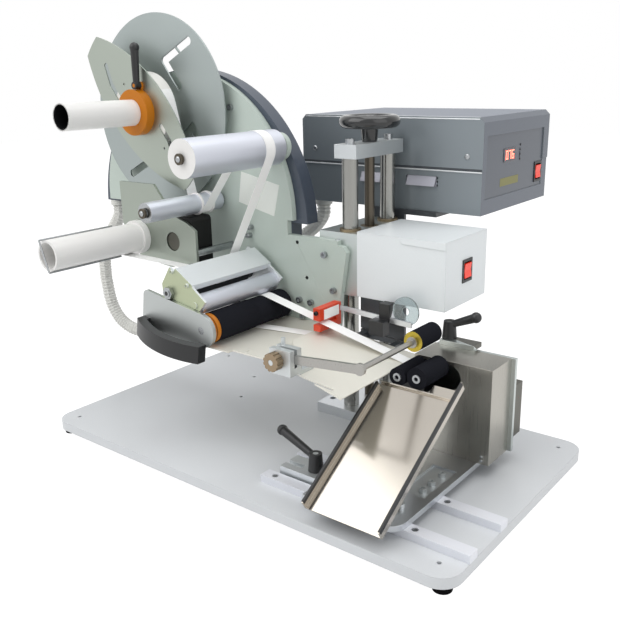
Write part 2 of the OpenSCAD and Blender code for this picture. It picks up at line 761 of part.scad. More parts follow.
// Ribbed conduit: rings set along a smooth route
function spline(a, b, c, d, t) = 0.5 * (2 * b + (c - a) * t + (2 * a - 5 * b + 4 * c - d) * t * t
    + (3 * b - a - 3 * c + d) * t * t * t);
route_last = len(conduit_route) - 1;
function route_at(i, t) = spline(conduit_route[max(i - 1, 0)], conduit_route[i], conduit_route[i + 1],
    conduit_route[min(i + 2, route_last)], t);
function leg_len(i) = norm(conduit_route[i + 1] - conduit_route[i]);
function route_len(i) = i < 0 ? 0 : route_len(i - 1) + leg_len(i);
rib_pitch = route_len(route_last - 1) / conduit_ribs;
function leg_ribs(i) = max(1, round(leg_len(i) / rib_pitch));
function is_straight(i) = i == 0 || i == route_last - 1;
function leg_point(i, t) = is_straight(i) ? conduit_route[i] * (1 - t) + conduit_route[i + 1] * t
    : route_at(i, t);
conduit_path = concat([for (i = [0 : route_last - 1], k = [0 : 2 * leg_ribs(i) - 1])
    leg_point(i, k / (2 * leg_ribs(i)))], [conduit_route[route_last]]);
path_last = len(conduit_path) - 1;
rib_depth = 1.6;
conduit_wall = 1.5;
conduit_bore = conduit_d - 2 * rib_depth - 2 * conduit_wall;
conduit_sides = 8;
function path_dir(i) = i < 3 || i > path_last - 3 ? [0, 0, i < 3 ? -1 : 1]
    : (conduit_path[i + 1] - conduit_path[i - 1]) / norm(conduit_path[i + 1] - conduit_path[i - 1]);
function side_dir(i) = let (c = cross(path_dir(i), [0, 1, 0])) c / norm(c);
function conduit_ring(i, d) = let (u = side_dir(i), v = cross(path_dir(i), u))
    [for (k = [0 : conduit_sides - 1]) let (a = 360 * k / conduit_sides)
        conduit_path[i] + d / 2 * (cos(a) * u + sin(a) * v)];
bore_rings = concat([for (i = [0 : 4 : path_last - 4]) i], [path_last]);
conduit_points = concat(
    [for (i = [0 : path_last]) each conduit_ring(i, i % 2 == 0 ? conduit_d : conduit_d - 2 * rib_depth)],
    [for (i = bore_rings) each conduit_ring(i, conduit_bore)]);
bore_first = (path_last + 1) * conduit_sides;
function strip(a, b, flip) = [for (k = [0 : conduit_sides - 1]) let (n = (k + 1) % conduit_sides)
    each flip ? [[a + k, b + n, a + n], [a + k, b + k, b + n]]
        : [[a + k, a + n, b + n], [a + k, b + n, b + k]]];
// Where the part's frame lies
left_reach = 616.374;
origin_x = (left_reach - base_w / 2) / 2;
origin_y = -(chute_low_y + control_y + control_d) / 2;
module cable_conduit() at_origin() color("#b9bbb5") polyhedron(conduit_points, concat(
    [for (i = [0 : path_last - 1]) each strip(i * conduit_sides, (i + 1) * conduit_sides, false)],
    [for (i = [0 : len(bore_rings) - 2])
        each strip(bore_first + i * conduit_sides, bore_first + (i + 1) * conduit_sides, true)],
    strip(0, bore_first, true),
    strip(path_last * conduit_sides, bore_first + (len(bore_rings) - 1) * conduit_sides, false)));
gland_h = 10;
gland_wall = 3;
module gland(p, up) translate([p[0], p[1], p[2] + (up ? -gland_h : 0)]) difference() {
    cylinder(d = conduit_d + 2 * gland_wall, h = gland_h);
    translate([0, 0, -over]) cylinder(d = conduit_d + 2 * gap, h = gland_h + 2 * over);
}
module conduit_glands() at_origin() color("#8d9093") {
    gland([conduit_route[0][0], conduit_route[0][1], plate_left_z - conduit_d * casing_drop_share], true);
    gland([conduit_route[route_last][0], conduit_route[route_last][1], control_z], true);
}

// Label web: one strip from the roll over the rollers and the peel edge, and back to the rewinder
web_off = gap + web_t / 2;
peel_end_c = [fold_x + peel_shares[2][0] * peel_len * cos(peel_tilt) - peel_t / 2 * sin(peel_tilt),
    fold_z - peel_shares[2][0] * peel_len * sin(peel_tilt) - peel_t / 2 * cos(peel_tilt)];
tray_end_c = [tray_right - over, tray_z + tray_t - over];
web_turns = [
    [unwind_c, roll_d / 2 + web_off, -1, 0],
    [small_c, small_roller_d / 2 + web_off, 1, 0],
    [top_c, top_roller_d / 2 + web_off, -1, 0],
    [pivot_c, pivot_sleeve_d / 2 + web_off, 1, 0],
    [press_c, press_d / 2 + web_off, 1, 0],
    [drive_c, drive_d / 2 + web_off, -1, 0],
    [peel_end_c, peel_t / 2 + web_off, -1, 0],
    [tray_end_c, over + web_off, 1, 0],
    [drive_c, drive_d / 2 + web_off, -1, 0.36],
    [pivot_c, pivot_sleeve_d / 2 + web_off, 1, 0.7],
    [rewind_c, rewind_d / 2 + web_off, -1, 1]];
turn_last = len(web_turns) - 1;
function heading(a, b) = atan2(b[1] - a[1], b[0] - a[0]);
function tangent_dir(a, b) = heading(a[0], b[0]) - asin((b[2] * b[1] - a[2] * a[1]) / norm(b[0] - a[0]));
function onward(s, from, to) = from + s * ((((s * (to - from)) % 360) + 360) % 360);
web_lead = 20;
web_tail = 150;
function dir_in(i) = i == 0 ? tangent_dir(web_turns[0], web_turns[1]) + web_lead
    : i == 1 ? tangent_dir(web_turns[0], web_turns[1]) : dir_out(i - 1);
function dir_out(i) = i == turn_last ? dir_in(i) - web_tail
    : i == 0 ? tangent_dir(web_turns[0], web_turns[1])
    : onward(web_turns[i][2], dir_in(i), tangent_dir(web_turns[i], web_turns[i + 1]));
web_step = 9;
function turn_steps(i) = max(1, ceil(abs(dir_out(i) - dir_in(i)) / web_step));
function web_point(i, a, side) = let (t = web_turns[i], r = t[1] + side * t[2] * web_t / 2)
    [t[0][0] + t[2] * r * sin(a), web_y + t[3] * (liner_y - web_y), t[0][1] - t[2] * r * cos(a)];
web_stations = [for (i = [0 : turn_last]) let (n = turn_steps(i), a = dir_in(i), b = dir_out(i))
    each [for (k = [0 : n]) [i, a + (b - a) * k / n]]];
web_sections = len(web_stations);
web_points = [for (s = web_stations) let (p = web_point(s[0], s[1], -1), q = web_point(s[0], s[1], 1),
    w = [0, label_w, 0]) each [p, q, q + w, p + w]];
module label_web() at_origin() color("#f3f2ec") polyhedron(web_points, concat(
    [for (i = [0 : web_sections - 2], k = [0 : 3]) let (a = 4 * i, b = 4 * (i + 1), n = (k + 1) % 4)
        each [[a + k, b + k, b + n], [a + k, b + n, a + n]]],
    [[0, 1, 2], [0, 2, 3]],
    [for (f = [[2, 1, 0], [3, 2, 0]]) [for (v = f) 4 * (web_sections - 1) + v]]));

// Unwinder
module unwind_tube() at_origin() color("#e9e9e6") {
    ring_y(unwind_c, tube_front, hub_front - tube_front + over, tube_d, tube_d - 2 * tube_wall);
    ring_y(unwind_c, hub_front, disc_y + disc_t - hub_front, tube_d, unwind_axle_d + 2 * fit);
}
chevron_shares = [[0.261, 0.348], [0.075, 0.258], [0.124, 0.193], [0.175, 0.129]];
chevron_w = 14;
module chevron() for (i = [0 : len(chevron_shares) - 2])
    link_2d(chevron_shares[i] * disc_d, chevron_shares[i + 1] * disc_d, chevron_w);
module rear_disc() at_origin() color("#b9c1bf") translate([unwind_c[0], disc_y + disc_t, unwind_c[1]])
    rotate([90, 0, 0]) linear_extrude(disc_t) difference() {
        circle(d = disc_d, $fn = 128);
        circle(d = tube_d + 2 * fit);
        for (a = [0 : 90 : 270]) rotate(a) chevron();
    }
flange_side_r = 307;
flange_slot_w = 10;
flange_slot_shares = [[0.346, 0], [0.253, 0.048], [0.166, 0.06]];
flange_screw_shares = [[0.18, -0.027], [-0.253, 0.009]];
module flange_slot() for (i = [0 : len(flange_slot_shares) - 2])
    link_2d(flange_slot_shares[i] * flange_len, flange_slot_shares[i + 1] * flange_len, flange_slot_w);
module front_flange() at_origin() color("#bfc6c5") translate([unwind_c[0], flange_y + flange_t, unwind_c[1]])
    rotate([90, 0, 0]) linear_extrude(flange_t) rotate(flange_turn) difference() {
        intersection() {
            circle(d = flange_len, $fn = 128);
            flange_side(1);
            flange_side(-1);
        }
        circle(d = tube_d + 2 * fit);
        for (a = [0, 180]) rotate(a) flange_slot();
        for (s = flange_screw_shares) translate(s * flange_len) circle(d = m4);
    }
module flange_side(s) translate([0, s * (flange_mid / 2 - flange_side_r)])
    circle(r = flange_side_r, $fn = 128);
lug_out = 45;
lug_turn = 78;
lug_t = 4;
lug_c = [unwind_c[0] + lug_out * cos(lug_turn), unwind_c[1] + lug_out * sin(lug_turn)];
lever_pin_d = 6;
module clamp_collar() at_origin() color("#d98a1f") {
    ring_y(unwind_c, flange_y - collar_w, collar_w, collar_d, tube_d + 2 * fit);
    difference() {
        plate_xz(flange_y, lug_t) link_2d(unwind_c, lug_c, axle_d);
        rod_y(unwind_c, flange_y - lug_t - over, lug_t + 2 * over, tube_d + 2 * fit);
    }
    rod_y(lug_c, flange_y - collar_w, collar_w, lever_pin_d);
}
roll_edge = 0.5;
roll_core_d = 80;
module label_roll() at_origin() color("#f5f4f0") {
    ring_y(unwind_c, web_y - roll_edge, label_w + 2 * roll_edge, roll_d, tube_d + 2 * fit);
    ring_y(unwind_c, flange_y + flange_t, disc_y - flange_y - flange_t, roll_core_d, tube_d + 2 * fit);
}
// A tapered handle arm from a to b with a round end
knuckle_share = 1.15;
module arm_to(a, b, d1, d2) {
    v = b - a;
    translate(a) rotate([0, acos(v[2] / norm(v)), atan2(v[1], v[0])]) cylinder(d1 = d1, d2 = d2, h = norm(v));
    translate(b) sphere(d = d2 * knuckle_share, $fn = 32);
}
collar_lever_share = [0.04, 0.97];
collar_lever_len = 62;
collar_lever_low_d = 11;
collar_lever_top_d = 14;
module collar_lever() at_origin() color("#1c1d1e") difference() {
    union() {
        rod_y(lug_c, flange_y - collar_w, collar_w - lug_t - gap, axle_d);
        arm_to([lug_c[0], flange_y - collar_w / 2 - lug_t / 2, lug_c[1]],
            [lug_c[0] + collar_lever_share[0] * collar_lever_len, flange_y - collar_w / 2 - lug_t / 2,
            lug_c[1] + collar_lever_share[1] * collar_lever_len], collar_lever_low_d, collar_lever_top_d);
    }
    rod_y(lug_c, flange_y - collar_w - over, collar_w + over, lever_pin_d + 2 * fit);
}

// Web rollers
module top_roller() at_origin() color("#d5d8da")
    ring_y(top_c, top_front, roller_back - top_front, top_roller_d, axle_d + 2 * fit);
guide_ring_d = small_roller_d + m5;
guide_ring_t = 3.5;
module small_idler() at_origin() color("#c9ccce") {
    ring_y(small_c, small_front, roller_back - small_front, small_roller_d, axle_d + 2 * fit);
    for (y = [web_y - gap - guide_ring_t, web_y + label_w + gap])
        ring_y(small_c, y, guide_ring_t, guide_ring_d, small_roller_d - over);
}
end_plate_t = 4;
press_pivot_turns_shares = [[0.02, 0.4], [-0.17, 0.12], [-0.16, -0.07], [0.03, -0.15], [0.4, -0.25],
    [0.57, -0.26], [0.76, -0.04], [0.52, 0.13], [0.5, 0.16]];
press_span = 100;
press_bar_shares = [[0.15, 0.4], [0.5, 0.18], [0.46, 0.09], [0.095, 0.3]];
press_screw_shares = [[0.08, 0.34], [0.4, 0.17]];
module press_frame() at_origin() color("#b9c0c0") {
    for (y = [press_front + end_plate_t, roller_back - gap - over])
        difference() {
            plate_xz(y, end_plate_t) polygon([for (s = press_pivot_turns_shares) pivot_c + s * press_span]);
            rod_y(pivot_c, y - end_plate_t - over, end_plate_t + 2 * over, axle_d + 2 * fit);
        }
    plate_xz(roller_back - gap - over, roller_back - gap - over - press_front)
        polygon([for (s = press_bar_shares) pivot_c + s * press_span]);
    ring_y(pivot_c, press_front + end_plate_t, roller_back - over - press_front - 2 * end_plate_t,
        pivot_sleeve_d, axle_d + 2 * fit);
    rod_y(press_c, press_front - thin, roller_back - gap - over - press_front + thin, shaft_d);
    for (s = press_screw_shares) translate([pivot_c[0] + s[0] * press_span, press_front,
        pivot_c[1] + s[1] * press_span]) rotate([90, 0, 0]) cap_screw(m4);
}
press_roller_front = press_front + end_plate_t + gap;
module press_roller() at_origin() color("#d3d6d9")
    ring_y(press_c, press_roller_front, roller_back - over - end_plate_t - 2 * gap - press_roller_front,
        press_d, shaft_d + 2 * fit);
drive_ring_w = 8;
module drive_roller() at_origin() color("#2b2c30") {
    ring_y(drive_c, drive_front, roller_back - drive_front, drive_d, axle_d + 2 * fit);
    ring_y(drive_c, drive_front - drive_ring_w / 2, drive_ring_w / 2, drive_d - thin, axle_d + 2 * fit);
}
rewind_bore = 42;
rewind_rim_d = 58;
clip_d = 3;
clip_len = 140;
clip_turn = 250;
module rewind_spool() at_origin() color("#eeeeea") {
    ring_y(rewind_c, rewind_front, bracket_y - gap - rewind_front - m8, rewind_d, rewind_bore);
    rod_y(rewind_c, bracket_y - m8 - gap - m4, m8 + m4, rewind_rim_d);
    rod_y(rewind_c, bracket_y - m8, bracket_t + 2 * m8, axle_d);
    for (s = [-1, 1]) translate([rewind_c[0], rewind_front - m6, rewind_c[1]]) rotate([0, clip_turn, 0])
        translate([s * (rewind_d + clip_d) / 2, 0, 0]) rotate([-90, 0, 0]) cylinder(d = clip_d, h = clip_len);
    translate([rewind_c[0], rewind_front - m6, rewind_c[1]]) rotate([0, clip_turn, 0])
        translate([-(rewind_d + clip_d) / 2, 0, 0]) rotate([0, 90, 0])
            cylinder(d = clip_d, h = rewind_d + clip_d);
}

// Pressure arm
arm_t = 5;
arm_boss_d = 18;
arm_h = 12;
arm_foot_t = 6;
arm_slot = arm_t + 2 * gap;
foot_reach = 30;
arm_block_x = arm_pivot[0] - arm_block_size[0] / 3;
module arm_block() at_origin() color("#9da2a5") {
    difference() {
        box_at([arm_block_x, arm_y - arm_block_size[1] / 2, arm_pivot[1] - arm_block_size[2] / 2 - thin],
            arm_block_size);
        box_at([arm_block_x - over, arm_y - arm_slot / 2, arm_pivot[1] - arm_boss_d / 2 - gap],
            [arm_block_size[0] + 2 * over, arm_slot, arm_block_size[2]]);
    }
    rod_y(arm_pivot, arm_y - arm_block_size[1] / 2 - knob_h, arm_block_size[1] + knob_h, m8);
    on_peel(arm_y + arm_block_size[1] / 2) translate([peel_len * arm_foot_share, -over, 0])
        cube([arm_block_size[0] / 2, foot_reach, arm_foot_t]);
    translate([arm_block_x + m8, arm_y + arm_block_size[1] / 3, arm_pivot[1] + arm_block_size[2] / 2 - thin])
        cylinder(d = m6, h = shaft_d);
}
arm_foot_share = 0.4;
rod_back = 50;
module pressure_arm() at_origin() color("#c7cacc") difference() {
    union() {
        plate_xz(arm_y + arm_t / 2, arm_t) {
            translate(arm_pivot) circle(d = arm_boss_d);
            polygon([arm_pivot + [0, -arm_h / 2], arm_reach + [0, -arm_h / 2], arm_reach + [0, arm_h / 2],
                arm_pivot + [0, arm_h / 2]]);
            translate(arm_reach) circle(d = arm_h + m4);
        }
        rod_y(arm_reach, arm_y, rod_back - arm_y, arm_rod_d);
        rod_y(arm_reach, pressure_front - gap - m4, m4, axle_d + m4);
        rod_y(arm_reach, pressure_front + pressure_len + gap, thin, axle_d);
    }
    rod_y(arm_pivot, arm_y - arm_t, 2 * arm_t, m8 + 2 * fit);
}
hub_w = 10;
module pressure_roller() at_origin() color("#303236") {
    ring_y(arm_reach, pressure_front, pressure_len, pressure_d, arm_rod_d + 2 * fit);
}
knob_d = 26;
knob_h = 12;
knob_notch = 3;
knob_notches = 12;
module tension_knob() at_origin() color("#b9bcbe") difference() {
    rod_y(arm_pivot, arm_y - arm_block_size[1] / 2 - knob_h - gap, knob_h, knob_d);
    rod_y(arm_pivot, arm_y - arm_block_size[1] / 2 - knob_h - over, knob_h + 2 * over, m8 + 2 * fit);
    for (k = [0 : knob_notches - 1]) rod_y(arm_pivot + knob_d / 2 * [cos(360 * k / knob_notches),
        sin(360 * k / knob_notches)], arm_y - arm_block_size[1] / 2 - knob_h - over, knob_h + 2 * over,
            knob_notch);
}

// Bottle carriage
window_shares = [0.676, 0.312, 0.25, 0.315];
front_round = 25;
module carriage_plate() at_origin() color("#c3c7ca") difference() {
    box_at([carriage_x, carriage_y, carriage_z], [carriage_w, carriage_d, carriage_t]);
    box_at([carriage_x + window_shares[0] * carriage_w, carriage_y + window_shares[1] * carriage_d,
        carriage_z - over],
        [window_shares[2] * carriage_w, window_shares[3] * carriage_d, carriage_t + 2 * over]);
    translate([carriage_right - front_round, carriage_y + front_round, carriage_z - over]) difference() {
        translate([0, -front_round - over, 0])
            cube([front_round + over, front_round + over, carriage_t + 2 * over]);
        cylinder(r = front_round, h = carriage_t + 2 * over);
    }
}
clamp_block_x = 67;
clamp_block_y = -140;
clamp_block_d = 40;
clamp_block_h = 20;
lever_c = [116, -120];
gusset_xs_shares = [0.14, 0.5];
gusset_t = 6;
chute_foot = 14;
module on_chute(x) translate([x, chute_low_y, chute_low_z]) rotate([chute_slope, 0, 0]) children();
gusset_from_share = 0.42;
gusset_to_share = 0.8;
module carriage_blocks() at_origin() color("#a2a8ac") {
    difference() {
        box_at([clamp_block_x, clamp_block_y, deck_z + seat],
            [carriage_x - clamp_block_x, clamp_block_d, clamp_block_h]);
        box_at([clamp_block_x - over, clamp_block_y + clamp_block_d / 3, deck_z + clamp_block_h - m6],
            [clamp_groove, m8, m6 + over]);
    }
    translate([lever_c[0], lever_c[1], deck_z + clamp_block_h]) cylinder(d = m8, h = lever_stud);
    for (s = gusset_xs_shares) plate_yz(chute_x + s * chute_w, gusset_t) polygon([
        [chute_at(gusset_from_share), carriage_top], [chute_at(gusset_to_share), carriage_top],
        [chute_at(gusset_to_share), chute_under(gusset_to_share)],
        [chute_at(gusset_from_share), chute_under(gusset_from_share)]]);
    box_at([carriage_x + window_shares[0] * carriage_w, carriage_y + window_shares[1] * carriage_d,
        carriage_z],
        [window_shares[2] * carriage_w, window_shares[3] * carriage_d, carriage_t / 2]);
    for (s = bolt_shares) translate([carriage_x + bolt_line_share * carriage_w, carriage_y
        + s[0] * carriage_d,
        carriage_z + s[1] * carriage_t]) cap_screw(m6);
}
clamp_groove = 30;
lever_stud = 26;
bolt_line_share = 0.834;
bolt_shares = [[0.181, 1], [0.38, 0.5], [0.464, 0.5], [0.565, 0.5]];
function chute_at(s) = chute_low_y + s * chute_len * cos(chute_slope) + chute_wall * sin(chute_slope);
function chute_under(s) = chute_low_z + s * chute_len * sin(chute_slope) - chute_wall * cos(chute_slope);
module plate_yz(x, t) translate([x, 0, 0]) rotate([90, 0, 90]) linear_extrude(t) children();
left_wall_share = 0.974;
right_wall_share = 1.121;
module chute() at_origin() color("#cfcfcb") on_chute(chute_x) {
    translate([0, 0, -chute_wall]) cube([chute_w, chute_len, thin]);
    translate([0, 0, -chute_wall]) cube([thin, chute_len * left_wall_share, chute_wall]);
    translate([chute_w - thin, 0, -chute_wall]) cube([thin, chute_len * right_wall_share, chute_wall]);
    translate([0, chute_len, -chute_wall]) cube([chute_w, thin, m6]);
}
cover_round = 20;
notch_right = 256;
notch_low_up = 118;
notch_low = deck_z + notch_low_up;
notch_top_up = 156;
notch_top = deck_z + notch_top_up;
module roller_cover() at_origin() color("#b5b3ae") difference() {
    box_at([cover_x, cover_y, carriage_top], [cover_right - cover_x, cover_d, cover_top - carriage_top]);
    box_at([cover_x + cover_t, cover_y + cover_t, carriage_top - over],
        [cover_right - cover_x - 2 * cover_t, cover_d, cover_top - carriage_top - cover_t + over]);
    plate_xz(cover_y + cover_t + over, cover_t + 2 * over) {
        translate([cover_x - over, notch_low])
            square([notch_right - cover_round - cover_x + over, notch_top - notch_low]);
        translate([notch_right - cover_round, (notch_low + notch_top) / 2]) circle(d = notch_top - notch_low);
    }
    box_at([cover_x - over, cover_y + cover_t, notch_low], [cover_t + 2 * over, cover_d / 2,
        notch_top - notch_low]);
}
gear_box_x = 240;
gear_box_right = 306;
gear_box_d = 27;
gear_box_low_up = 38;
gear_box_low = deck_z + gear_box_low_up;
gear_box_top_up = 118;
gear_box_top = deck_z + gear_box_top_up;
stop_block_w = 56;
stop_block_h = 7;
stop_c = [197, 103];
stop_block_y = 88;
stop_block_d = 24;
lever_hub_h = 26;
module gear_unit() at_origin() color("#8f979b") {
    difference() {
        plate_xz(gear_y + gear_t, gear_t - fit) translate([gear_x, carriage_top])
            square([gear_right - gear_x, cover_top - carriage_top]);
        rod_y(bottle_c, gear_y - over, gear_t + 2 * over, shaft_d + 2 * fit);
        rod_y(idle_c, gear_y - over, gear_t + 2 * over, m8 + 2 * fit);
    }
    box_at([gear_box_x, gear_y + gear_t, gear_box_low], [gear_box_right - gear_box_x, gear_box_d,
        gear_box_top - gear_box_low]);
    box_at([stop_c[0] - m8, stop_block_y, cover_top], [stop_block_w, stop_block_d, stop_block_h]);
    translate([stop_c[0], stop_c[1], cover_top + stop_block_h]) cylinder(d = m8, h = lever_stud);
}
steel_ring = 2;
module bottle_roller() at_origin() color("#26282b") {
    rod_y(bottle_c, bottle_front, cover_y - bottle_front - gap, bottle_roller_d);
    ring_y(bottle_c, bottle_front - steel_ring, steel_ring + over, axle_d, m6);
    rod_y(bottle_c, cover_y - over, gear_y + gear_t - cover_y + over, shaft_d);
}
idle_sleeve = 58;
module idle_roller() at_origin() color("#2a2c2f") {
    rod_y(idle_c, bottle_front, idle_sleeve, idle_d);
    ring_y(idle_c, bottle_front - steel_ring, steel_ring + over, axle_d, m6);
    rod_y(idle_c, bottle_front + over, gear_y + gear_t - bottle_front - over, m8);
}
hub_low_d = 22;
hub_top_d = 18;
module clamp_lever(p, end) difference() {
    union() {
        translate(p) cylinder(d1 = hub_low_d, d2 = hub_top_d, h = lever_hub_h);
        arm_to(p + [0, 0, lever_hub_h * arm_rise_share], end, shaft_d, axle_d + m4 / 2);
    }
    translate(p - [0, 0, over]) cylinder(d = m8 + 2 * fit, h = lever_stud + over + gap);
}
arm_rise_share = 0.75;
carriage_lever_reach = [-79, 23, 30];
stop_lever_reach = [42, 0, 38];
module carriage_lever() at_origin() color("#17181a") let (p = [lever_c[0], lever_c[1],
    deck_z + clamp_block_h + gap]) clamp_lever(p, p + carriage_lever_reach);
module stop_lever() at_origin() color("#17181a") let (p = [stop_c[0], stop_c[1],
    cover_top + stop_block_h + gap]) clamp_lever(p, p + stop_lever_reach);

base_plate();
rubber_feet();
slide_rails();
deck_screws();
column_base();
guide_columns();
top_yoke();
lead_screw();
handwheel();
slide_block();
lift_bushings();
housing_box();
housing_lid();
main_plate();
back_casing();
axles_and_bolts();
rewind_bracket();
stepper_motor();
bearing_plate();
bow_handle();
feed_tray();
peel_plate();
head_brackets();
sensor_rail();
fork_sensor();
guide_disc();
control_shell();
control_lid();
control_panel();
switch_bezels();
cable_conduit();
conduit_glands();
label_web();
arm_block();
unwind_tube();
rear_disc();
front_flange();
clamp_collar();
label_roll();
collar_lever();
top_roller();
small_idler();
press_frame();
press_roller();
drive_roller();
rewind_spool();
pressure_arm();
pressure_roller();
tension_knob();
housing_rocker();
control_rocker();
carriage_plate();
carriage_blocks();
chute();
roller_cover();
gear_unit();
bottle_roller();
idle_roller();
carriage_lever();
stop_lever();
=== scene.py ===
"""Looks of the round bottle labelling machine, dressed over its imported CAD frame.

Lengths are metres in the row frame. Places read off the machine are given in
millimetres from the middle of the base plate's top, and spot() turns them.
"""

import logging
import math
from dataclasses import dataclass
from enum import Enum
from typing import Any, Callable, ClassVar, Mapping, Sequence

import bmesh
import bpy
from mathutils import Matrix, Vector


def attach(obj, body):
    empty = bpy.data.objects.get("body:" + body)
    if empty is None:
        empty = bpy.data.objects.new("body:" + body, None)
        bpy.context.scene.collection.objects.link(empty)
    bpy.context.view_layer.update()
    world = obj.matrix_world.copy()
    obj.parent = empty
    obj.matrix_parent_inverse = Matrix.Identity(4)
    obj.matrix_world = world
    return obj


LOG = logging.getLogger("labelling_machine")
MM = 0.001
ORIGIN_MM = Vector((120.687, -134.0, 25.0))
TO_FRONT = Vector((0, -1, 0))
TO_BACK = Vector((0, 1, 0))
# How squarely a face looks along an axis to count as facing it
SQUARE_ON = 0.9
# Hand wiping and uneven film leave a slow drift of tone about this wide
DRIFT_MM = 90.9
Colour = tuple[float, float, float, float]
Place = tuple[float, float, float]
# Points, spans, or a turned profile's radii and heights, all in mm
Pairs = tuple[tuple[float, float], ...]
Where = Callable[[Vector, Vector], bool]


def spot(x: float, y: float, z: float) -> Vector:
    """Return the row-frame place, in metres, of a point given in mm from the base plate's top middle."""
    return (Vector((x, y, z)) + ORIGIN_MM) * MM


def linear(hex_colour: str) -> Colour:
    """Turn an sRGB hex colour into Blender's linear RGBA.

    Args:
        hex_colour: Colour as "#rrggbb".

    Returns:
        Linear red, green, blue and an alpha of 1.
    """
    parts = [int(hex_colour[i:i + 2], 16) / 255 for i in (1, 3, 5)]
    low = [c / 12.92 if c <= 0.04045 else ((c + 0.055) / 1.055) ** 2.4 for c in parts]
    return (low[0], low[1], low[2], 1.0)


def add_node(tree: bpy.types.NodeTree, kind: str, props: Mapping[str, Any] | None = None,
             values: Mapping[Any, Any] | None = None,
             links: Mapping[Any, bpy.types.NodeSocket] | None = None) -> bpy.types.Node:
    """Add one shader node with its settings and links.

    Args:
        tree: Node tree to add to.
        kind: Node type name.
        props: Attributes to set on the node.
        values: Default values by input name or number.
        links: Sources by input name or number.

    Returns:
        The new node.
    """
    node = tree.nodes.new(kind)
    for key, value in (props or {}).items():
        setattr(node, key, value)
    for key, value in (values or {}).items():
        node.inputs[key].default_value = value
    for key, source in (links or {}).items():
        tree.links.new(source, node.inputs[key])
    return node


class Grain(Enum):
    """Direction that a surface's marks run in, as how far each axis of the pattern is stretched."""

    EVEN = (1.0, 1.0, 1.0)
    ALONG_X = (0.02, 1.0, 1.0)
    ALONG_Y = (1.0, 0.02, 1.0)
    ALONG_Z = (1.0, 1.0, 0.02)
    ROUND_Y = (0.06, 1.0, 0.06)


class Axis(Enum):
    """Axes of the turning pieces that run from front to back, as x and z in mm."""

    UNWINDER = (-355.0, 491.0)
    TOP_ROLLER = (-101.0, 438.0)
    SMALL_IDLER = (-232.0, 345.0)
    PRESS_ROLLER = (-164.0, 232.0)
    DRIVE_ROLLER = (-94.0, 185.0)
    REWINDER = (-345.0, 283.0)

    def at(self, y: float) -> Vector:
        """Return the place on the axis at y mm, in metres."""
        return spot(self.value[0], y, self.value[1])

    def off(self, place: Vector) -> float:
        """Return how far a place lies from the axis, both in mm."""
        return math.hypot(place.x - self.value[0], place.z - self.value[1])


